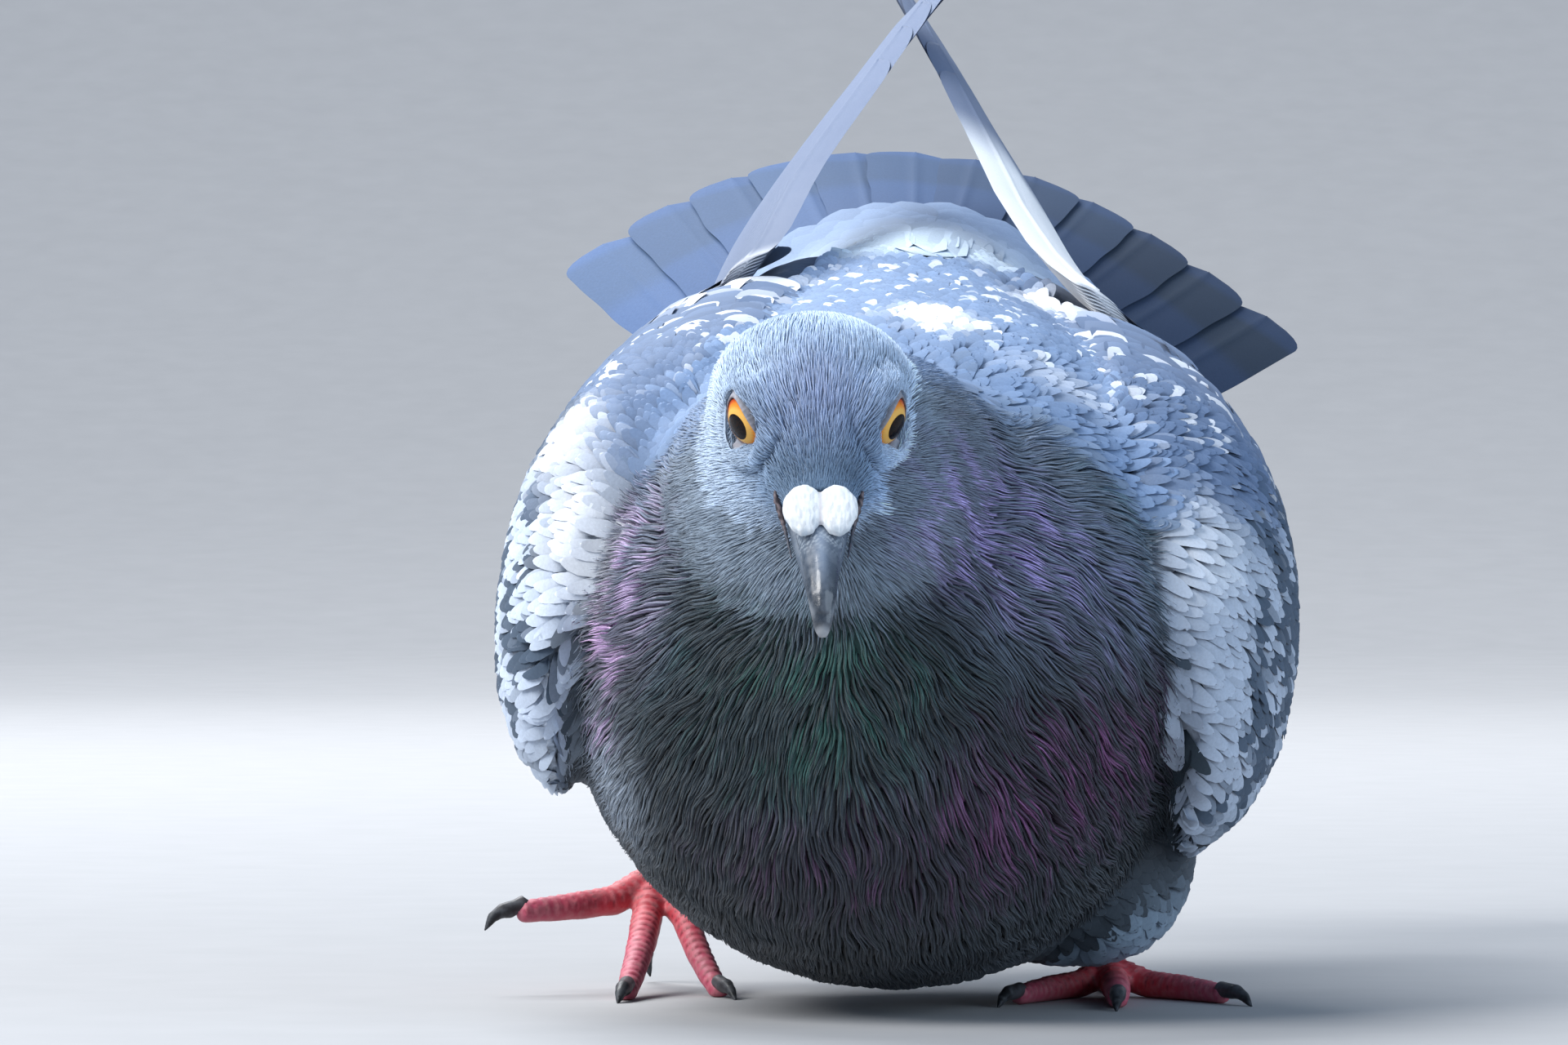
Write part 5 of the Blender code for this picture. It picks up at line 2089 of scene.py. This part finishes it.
@dataclass
class Eye:
    """One eyeball with its iris, and the bare ring of lids round it."""

    side: str
    stance: Stance
    surface: Surface
    radius: float = BALL_RADIUS
    pupil: float = 20.5
    gold: float = 29.0
    iris: float = 45.0

    def ring(self, polar: Array, turn: Array, reach: Array | float) -> Array:
        """Points round the eyeball's middle.

        Args:
            polar: Angles from straight out, in radians.
            turn: Angles round the outlook, from the front corner.
            reach: Distances from the middle.

        Returns:
            Places in the row frame.
        """
        socket = SOCKETS[self.side]
        way = (
            np.cos(polar)[..., None] * socket.out
            + (np.sin(polar) * np.cos(turn))[..., None] * socket.forward
            + (np.sin(polar) * np.sin(turn))[..., None] * socket.upward
        )
        return self.stance.from_head(socket.middle + way * np.asarray(reach)[..., None])

    def ball(self, segments: int = 96) -> Piece:
        """Makes the eyeball: black pupil, golden inner ring, orange-red iris, dark rim.

        Args:
            segments: How many points each of its rings has.

        Returns:
            The eyeball without its finish.
        """
        polar = np.concatenate(
            [
                np.linspace(1.5, self.pupil - 0.4, 8), np.linspace(self.pupil + 0.4, self.gold, 8),
                np.linspace(self.gold + 1, self.iris, 12), np.linspace(self.iris + 1.5, 90, 10),
                np.linspace(100, 176, 8)
            ]
        )
        turn = np.arange(segments) * 2 * pi / segments
        angle, turns = np.meshgrid(polar, turn, indexing="ij")
        beside = self.radius * np.sin(np.radians(angle)) - SOCKETS[self.side].opening(turns)
        hidden = np.maximum(smooth(0.1, 0.7, beside), smooth(70, 80, angle))
        reach = self.radius - 0.12 + 0.22 * smooth(44, 12, angle) - 1.3 * hidden
        rings = self.ring(np.radians(angle), turns, reach)
        ends = np.array([self.radius + 0.1, self.radius - 1.4])
        poles = self.ring(np.radians([0.0, 180.0]), np.zeros(2), ends)
        points = np.concatenate([poles[:1], rings.reshape(-1, 3), poles[1:]])
        obj = outward(mesh_object(f"eyeball_{self.side}", points, lathe_faces(len(polar), segments)))
        angle, turns = angle.ravel(), turns.ravel()
        fibre = np.sin(turns * 37) * 0.4 + np.sin(turns * 61 + 1.3) * 0.35 + np.sin(turns * 17 + 0.6) * 0.25
        corner = np.abs(np.cos(turns)) ** 3
        inner = smooth(self.gold - 3, self.gold + 5, angle + 1.5 * fibre)
        colours = mix(BARE.gold, BARE.orange, inner)
        colours = mix(colours, BARE.rust, smooth(33, 42, angle) * (0.35 + 0.65 * corner))
        colours = colours * (1 + 0.16 * fibre * smooth(24, 30, angle))[:, None]
        colours = mix(colours, BARE.iris_rim, smooth(self.iris - 3, self.iris, angle))
        colours = mix(colours, BARE.pupil, angle < self.pupil)
        paint(obj, "pigment", np.concatenate([[(0.003,) * 3], np.clip(colours, 0, 1), [(0.02,) * 3]]))
        return obj

    def lids(self, segments: int = 96) -> Piece:
        """Makes the fleshy ring of the lids, with a corner in front and one behind.

        Args:
            segments: How many points go round it.

        Returns:
            The lids without their finish.
        """
        socket = SOCKETS[self.side]
        turn = np.arange(segments) * 2 * pi / segments
        opening = socket.opening(turn)
        wrinkle = 0.03 * np.sin(turn * 26) + 0.025 * np.sin(turn * 41 + 1)
        brow = 0.08 * smooth(0.2, 0.9, np.sin(turn))
        rows, tones = [], []
        outer = 1 + 1.1 * smooth(0.5, -0.1, np.sin(turn))
        for wide, rise, tone in (
            (-0.30, -0.60, 0.0), (-0.10, 0.02, 0.0), (0.00, 0.12, 0.3), (0.10, 0.16, 0.8), (0.20, 0.12, 1.0),
            (0.34, -0.05, 1.0)
        ):
            reach = self.radius + rise + (wrinkle + brow) * (wide > 0)
            spread = opening + wide * (outer if wide > 0 else 1)
            rows.append(self.ring(np.arcsin(spread / (self.radius + rise)), turn, reach))
            tones.append(tone)
        flat = np.cos(turn)[:, None] * socket.forward + np.sin(turn)[:, None] * socket.upward
        for wide, drop in ((0.60, -0.3), (0.9, -0.9), (0.8, -1.8)):
            beside = flat * (opening + wide * outer)[:, None]
            starts = self.stance.from_head(socket.middle + socket.out * 14 + beside)
            ways = np.broadcast_to(self.stance.head_way(-socket.out), starts.shape)
            spots, _, met = self.surface.cast(starts, ways)
            spots[~met] = rows[-1][~met]
            rows.append(spots + self.stance.head_way(socket.out) * drop)
            tones.append(1.0)
        rows.append(self.ring(np.arcsin(opening * 0.88 / self.radius), turn, self.radius - 1.3))
        tones.append(0.0)
        obj = mesh_object(f"eyelids_{self.side}", np.concatenate(rows), torus_faces(len(rows), segments))
        tone = np.repeat(tones, segments) * np.random.default_rng(3).uniform(0.8, 1.1, len(rows) * segments)
        paint(obj, "pigment", mix(BARE.lid_edge, BARE.lid, np.clip(tone, 0, 1)))
        sub = outward(obj).modifiers.new("round", "SUBSURF")
        sub.levels = sub.render_levels = 1
        finish_modifiers(obj)
        return obj

    def build(self) -> None:
        """Makes and dresses the eye and its lids."""
        wet = PaintedFinish(
            f"wet_eye_{self.side}", "eye_iris", roughness=0.25, scale=2500.0, scuff=(0.3, 0.1, 0.02),
            scuffed=0.04, relief=0.02, depth=0.01, coat=0.18, specular=0.05
        )
        bare = PaintedFinish(
            f"lid_skin_{self.side}", "head_plumage", roughness=0.55, scale=1500.0, scuff=(0.5, 0.45, 0.5),
            scuffed=0.25, relief=0.5, depth=0.06
        )
        wet.dress(self.ball(), f"eye_{self.side}")
        bare.dress(self.lids())


MOUTH_FOLD = (
    (5.75, -11.3, -1.5, 0.16),
    (5.6, -12.0, -2.0, 0.36),
    (5.2, -13.2, -2.9, 0.40),
    (4.6, -15.2, -4.0, 0.28),
    (4.1, -17.6, -4.6, 0.20),
    (3.7, -20.2, -4.8, 0.12),
)


@dataclass
class Bill:
    """The horn of both jaws and the two chalky lobes of the cere over the nostrils."""

    stance: Stance
    grain: float = 0.24
    tip: float = -34.2
    feather_line: float = -14.0

    def jaw(self, which: str) -> Piece:
        """Makes one jaw.

        Args:
            which: "upper" or "lower".

        Returns:
            The horn without its finish.
        """
        obj = remeshed(merged_copy(f"bill_horn_{which}", [f"bill_{which}"], 0.06), self.grain, 6)
        own = self.stance.to_head(places(obj))
        aside, along, height = own.T
        forward = smooth(self.feather_line, self.tip, along)
        if which == "upper":
            ridge = np.exp(-((aside / 0.75) ** 2)) * smooth(-17, -22, along) * smooth(-34, -31, along)
            own[:, 2] += 0.28 * ridge * (height > -2.5)
            nostril = np.exp(-(((np.abs(aside) - 2.5) / 0.7) ** 2) - ((along + 19.0) / 2.2) ** 2)
            own[:, 0] -= np.sign(aside) * 0.45 * nostril * (height > -2.4)
        seam = smooth(0.9, 0.0, np.abs(height + 3.5 + 0.06 * (along + 20)))
        horn = mix(BARE.horn, BARE.horn_front, smooth(-18, -30, along))
        # Painted highlight: a pale bluish line along the middle of the horn towards the tip, where the gloss
        # catches the light.
        ridge_highlight_share = np.exp(-((aside / 0.9) ** 2)) * smooth(-32.0, -24, along)
        horn = mix(horn, BARE.ridge_highlight, ridge_highlight_share * 0.7)
        edge = smooth(0.55, 0.95, np.abs(aside) / (4.0 - 2.7 * forward))
        horn = mix(horn, BARE.horn_edge, edge * seam * 0.5)
        horn = mix(horn, BARE.horn_tip, smooth(-33.3, -34.1, along) * 0.8)
        dusty = smooth(-24.5, -21.0, along) * smooth(-3.2, -2.2, height)
        horn = mix(horn, BARE.dust, dusty * smooth(0.0, 0.7, ripple(own, 0.7, 61)) * 0.5)
        set_places(obj, self.stance.from_head(own))
        paint(obj, "pigment", horn)
        return obj

    def cere(self) -> Piece:
        """Makes the two chalky lobes as one heart, grooved and worn at their lower edges."""
        obj = remeshed(merged_copy("cere_chalk", [f"cere_{side}" for side in SIDES], 0.48), 0.17, 30)
        set_places(obj, places(obj) - vertex_normals(obj) * 0.2)
        own = self.stance.to_head(places(obj))
        facing = unit(np.array((0.0, -0.45, 0.89)))
        level = own @ facing
        flat = np.maximum(level - (level.max() - 2.8), 0)
        own = own - facing * (0.55 * flat)[:, None]
        own[:, 0] *= 1 - 0.16 * smooth(-16.5, -20.5, own[:, 1])
        aside, along, height = own.T
        wander = aside + 0.10 * ripple(own, 2.2, 51)
        groove = np.sin(wander * 11) * 0.5 + np.sin(wander * 17 + 1) * 0.5 * ripple(own, 1.6, 52)
        out = vertex_normals(obj) @ self.stance.head
        own = own + out * (0.03 * groove + 0.015 * ripple(own, 0.9, 53))[:, None]
        set_places(obj, self.stance.from_head(own))
        chalk = np.broadcast_to(BARE.chalk, own.shape)
        worn = smooth(-18.9, -21.0, along + 0.2 * height + 0.7 * ripple(own, 1.3, 54))
        chalk = mix(chalk, BARE.chalk_worn, worn * 0.7)
        chalk = mix(chalk, BARE.chalk_cleft, smooth(0.4, 0.05, np.abs(aside)) * 0.5)
        cracks = smooth(0.30, 0.55, ripple(own * (3.2, 0.6, 1.0), 1.1, 56))
        chalk = mix(chalk, BARE.chalk_crack, cracks * 0.45)
        paint(obj, "pigment", mix(chalk, BARE.chalk_root, smooth(-0.4, -1.2, height) * 0.7))
        return obj

    def fold(self, side: str) -> Piece:
        """Makes the dark fold of skin at one corner of the mouth, from its middle line and its radii.

        Args:
            side: "left" or "right".

        Returns:
            The fold without its finish.
        """
        line = np.array(MOUTH_FOLD)
        middles = self.stance.from_head(line[:, :3] * (SIDES[side], 1, 1))
        obj = Limb(middles, line[:, 3]).finer(0.2).tube(f"mouth_fold_{side}", 14)
        own = self.stance.to_head(places(obj))
        set_places(obj, places(obj) + vertex_normals(obj) * (0.06 * ripple(own, 0.7, 71))[:, None])
        flesh = mix(BARE.mouth, BARE.mouth_dark, smooth(-0.5, 0.2, ripple(own, 1.0, 72)))
        paint(obj, "pigment", mix(flesh, BARE.mouth_front, smooth(-14, -17, own[:, 1])))
        return obj

    def build(self) -> None:
        """Makes and dresses the bill and the cere."""
        for which in ("upper", "lower"):
            horn = PaintedFinish(
                f"horn_{which}", "bill_horn", roughness=0.26, scale=700.0, scuff=(0.22, 0.25, 0.30),
                scuffed=0.22, relief=0.35, depth=0.08, coat=0.35
            )
            horn.dress(self.jaw(which), f"bill_{which}")
        chalk = PaintedFinish(
            "chalk", "cere_skin", roughness=0.72, scale=1400.0, scuff=(0.70, 0.73, 0.78), scuffed=0.35,
            relief=0.55, specular=0.3
        )
        chalk.dress(self.cere(), "cere_left", "cere_right")
        flesh = PaintedFinish(
            "mouth_skin", "bill_horn", roughness=0.5, scale=1200.0, scuff=(0.2, 0.15, 0.16), scuffed=0.3,
            relief=0.5, depth=0.08
        )
        for side in SIDES:
            flesh.dress(self.fold(side))


# ---- legs and claws


@dataclass
class Legs:
    """Bare scaled legs that grow out of the skin, and their claws."""

    skin: Skin
    grain: float = 0.42
    scute: float = 1.55
    spacing: float = 0.8
    limbs: list[Limb] = field(default_factory=list)

    def read(self) -> None:
        """Reads the solids: each toe starts at the foot of its own tarsus."""
        for side in SIDES:
            tarsus = Limb.of(f"tarsus_{side}", np.array((0, 0.2, 1.0)))
            reach_up = tarsus.middles[-1] + (tarsus.middles[-1] - tarsus.middles[-2]) * 2.0
            radii = np.append(tarsus.radii, tarsus.radii[-1] * 1.15)
            self.limbs.append(Limb(np.vstack([tarsus.middles, reach_up]), radii).finer(self.spacing))
            ankle = tarsus.middles[0]
            for toe in TOE_NAMES:
                node = f"toe_{side}_{toe}"
                low, high = (np.array(corner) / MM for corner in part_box(node))
                found = Limb.of(node, (low + high) / 2 - ankle)
                tip = found.middles[-1] + (found.middles[-1] - found.middles[-2]) * 0.9
                middles = np.vstack([ankle, found.middles, tip])
                radii = np.concatenate([found.radii[:1] * 1.05, found.radii, found.radii[-1:] * 0.92])
                self.limbs.append(Limb(middles, radii).finer(self.spacing))

    def shape(self) -> Piece:
        """Melts the legs into one scaled surface.

        Returns:
            The legs as one object with their colours painted on.
        """
        tubes = [limb.tube(f"limb_{number}", 20) for number, limb in enumerate(self.limbs)]
        bpy.ops.object.select_all(action="DESELECT")
        for tube in tubes:
            tube.select_set(True)
        bpy.context.view_layer.objects.active = tubes[0]
        bpy.ops.object.join()
        legs = remeshed(tubes[0], self.grain, 4)
        points, normals = places(legs), vertex_normals(legs)
        middles = np.concatenate([limb.middles for limb in self.limbs])
        runs = np.concatenate([unit(np.gradient(limb.middles, axis=0)) for limb in self.limbs])
        starts = np.concatenate([np.arange(len(limb.middles)) * self.spacing for limb in self.limbs])
        near = np.concatenate(
            [np.argmin(((chunk[:, None] - middles) ** 2).sum(-1), 1) for chunk in np.array_split(points, 40)]
        )
        along = starts[near] + ((points - middles[near]) * runs[near]).sum(-1)
        over = flattened(np.array((0.0, -0.5, 1.0)) * np.ones_like(points), runs[near])
        top = (normals * over).sum(-1)
        share = along / self.scute % 1
        plate = (share**1.5 - 0.45) * smooth(-0.15, 0.45, top)
        beads = np.sin(along * 5.2) * np.sin(top * 9 + along * 2) * smooth(0.45, 0.0, np.abs(top - 0.05))
        pads = np.abs(np.sin(along * 0.62)) * smooth(-0.3, -0.8, top)
        lift = 0.22 * plate + 0.07 * beads + 0.10 * pads
        points = points + normals * (lift * smooth(0.0, 0.5, points[:, 2]))[:, None]
        points[:, 2] = np.maximum(points[:, 2], 0.0)
        set_places(legs, points)
        groove = smooth(0.16, 0.0, share) * smooth(-0.1, 0.4, top)
        red = mix(BARE.toe, BARE.shin, smooth(6, 24, along))
        red = mix(red, BARE.scute_edge, smooth(0.55, 0.95, share) * smooth(0, 0.5, top) * 0.4)
        red = mix(red, BARE.scute_groove, groove * 0.8)
        red = mix(red, BARE.sole, smooth(-0.3, -0.9, top) * 0.5)
        paint(legs, "pigment", red * (1 + 0.10 * ripple(points, 5.0, 21))[:, None])
        return legs

    def claw(self, side: str, toe: str) -> Piece:
        """Makes one claw: a curved horn with a sharp point.

        Args:
            side: "left" or "right".
            toe: The toe's name.

        Returns:
            The claw without its finish.
        """
        node = f"claw_{side}_{toe}"
        low, high = (np.array(corner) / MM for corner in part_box(node))
        toe_low, toe_high = (np.array(corner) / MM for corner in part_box(f"toe_{side}_{toe}"))
        solid = Limb.of(node, (low + high) / 2 - (toe_low + toe_high) / 2, 6)
        run = solid.middles[-1] - solid.middles[-2]
        back = solid.middles[0] - solid.middles[1]
        middles = np.vstack([solid.middles[0] + back * 1.6, solid.middles, solid.middles[-1] + run * 1.1])
        radii = np.concatenate([solid.radii[:1] * 1.05, solid.radii, [0.12]])
        obj = Limb(middles, radii).finer(0.25).tube(f"horn_{side}_{toe}", 16)
        points = places(obj)
        share = np.clip(((points - middles[0]) @ unit(middles[-1] - middles[0])) / 6.0, 0, 1)
        paint(obj, "pigment", mix(BARE.claw, BARE.claw_tip, share))
        return obj

    def build(self) -> None:
        """Makes the legs as part of the skin, and the claws."""
        self.read()
        legs = self.shape()
        scales = PaintedFinish(
            "leg_skin", "leg_scales", roughness=0.5, scale=900.0, scuff=(0.62, 0.36, 0.36), scuffed=0.22,
            relief=0.5, depth=0.08
        )
        legs.data.materials.append(scales.material())
        horn = PaintedFinish(
            "claws", "claw_horn", roughness=0.45, scale=900.0, scuff=(0.13, 0.14, 0.16), scuffed=0.35,
            relief=0.4, depth=0.06, coat=0.05, specular=0.3
        )
        for side in SIDES:
            for toe in TOE_NAMES:
                horn.dress(self.claw(side, toe), f"claw_{side}_{toe}")
        self.join(legs)

    def join(self, legs: Piece) -> None:
        """Makes the legs part of the one skin and dresses it."""
        skin = self.skin.obj
        points = places(skin)
        # Painted shade: the skin under the coat takes the plumage's colours a fifth darker, as it lies in
        # shade under the feathers.
        paint(skin, "pigment", self.skin.markings.pigment(points, self.skin.tracts) * 0.8)
        paint(skin, "lustre", self.skin.markings.lustre(points, self.skin.tracts))
        paint(legs, "lustre", np.zeros((len(legs.data.vertices), 4)))
        for obj in (skin, legs):
            obj.data.uv_layers.new(name="Vane")
        down = PlumageFinish("under_down", "body_plumage", contrast=0.0, grain=0.6, relief=0.5, shining=True)
        skin.data.materials.append(down.material())
        only(legs)
        skin.select_set(True)
        bpy.context.view_layer.objects.active = skin
        bpy.ops.object.join()
        hang(skin, "body_plumage", *FLESH_NODES, *LEG_NODES)


# ---- stage


@dataclass(frozen=True)
class Lamp:
    """A soft square light: where it hangs, how wide and strong it is, and its tint."""

    name: str
    place: Triple
    width: float
    power: float
    tint: Colour
    target: Triple = (0.0, 0.0, 0.07)

    def hang(self) -> None:
        """Hangs the lamp so that it faces its target."""
        light = bpy.data.lights.new(self.name, "AREA")
        light.size = self.width
        light.energy = self.power
        light.color = self.tint
        obj = linked(self.name, light)
        obj.location = self.place
        obj.rotation_euler = (Vector(self.target) - Vector(self.place)).to_track_quat("-Z", "Y").to_euler()


@dataclass
class Stage:
    """A pale floor under soft light, and the camera low in front of the bird."""

    camera_place: Triple = (-20.14, -1318.93, 71.7)
    lens: float = 209.25
    framing: float = -0.02083
    floor_half: float = 9.0
    curve_start: float = 2.0
    curve: float = 150.0
    sky: Colour = (0.55, 0.74, 1.0)
    sky_strength: float = 0.5
    lamps: tuple[Lamp, ...] = (
        Lamp("key", (-1.3, -0.75, 1.35), 1.1, 46.0, (1.0, 0.985, 0.955)),
        Lamp("back", (-0.55, 1.0, 1.35), 1.1, 34.0, (0.96, 0.98, 1.0)),
        Lamp("fill", (1.5, -0.9, 0.5), 1.4, 16.0, (0.72, 0.86, 1.0)),
        Lamp("backdrop", (0.0, 1.5, 2.2), 2.5, 75.0, (1.0, 0.99, 0.97), (0.0, 4.5, 0.4)),
    )

    def floor(self) -> Piece:
        """Makes the floor: one wide sheet that curves up far behind the bird."""
        bpy.ops.object.select_all(action="DESELECT")
        bpy.ops.mesh.primitive_grid_add(x_subdivisions=2, y_subdivisions=48, size=2)
        floor = bpy.context.object
        floor.name = "floor"
        points = places(floor)
        along = points[:, 1] * MM * self.floor_half
        points[:, 0] *= self.floor_half
        points[:, 1] = along / MM
        points[:, 2] = np.maximum(along - self.curve_start, 0) ** 2 * self.curve
        set_places(floor, points)
        floor.data.shade_smooth()
        made, net, shader = new_material("pale_floor")
        grain = net.noise(60.0, 4.0)
        net.wire(net.blend(grain, (0.355, 0.355, 0.365), (0.40, 0.40, 0.41)), shader.inputs["Base Color"])
        shader.inputs["Roughness"].default_value = 0.75
        floor.data.materials.append(made)
        return floor

    def build(self) -> None:
        """Sets the floor, the lights and the camera."""
        self.floor()
        for lamp in self.lamps:
            lamp.hang()
        world = bpy.data.worlds.new("soft_room")
        world.use_nodes = True
        sky = world.node_tree.nodes["Background"]
        sky.inputs["Color"].default_value = (*self.sky, 1)
        sky.inputs["Strength"].default_value = self.sky_strength
        bpy.context.scene.world = world
        bpy.context.scene.view_settings.view_transform = "Standard"
        lens = bpy.data.cameras.new("camera")
        lens.sensor_width = 36.0
        lens.lens = self.lens
        lens.shift_y = self.framing
        lens.clip_start = 0.01
        camera = linked("camera", lens)
        camera.location = [number * MM for number in self.camera_place]
        camera.rotation_euler = (pi / 2, 0, 0)
        bpy.context.scene.camera = camera


# ---- the bird


SEED = 7


def main() -> None:
    """Builds the pigeon piece by piece and sets it on its stage."""
    logging.basicConfig(level=logging.INFO, format="%(name)s %(message)s")
    draw = np.random.default_rng(SEED)
    stance = Stance()
    markings = Markings(stance)
    skin = Skin(stance, markings)
    SmallFeathers(markings, skin, Coat(skin, Lie(stance), markings, draw), stance).build()
    for side in SIDES:
        FoldedWing(side, skin, stance, markings, draw).build()
        Primaries(side, stance, draw, white_until=0.42 if side == "left" else 0.0).build()
        Eye(side, stance, skin.surface).build()
    Tail(stance, markings, draw).build()
    Bill(stance).build()
    Legs(skin).build()
    Stage().build()


if __name__ == "__main__":
    main()
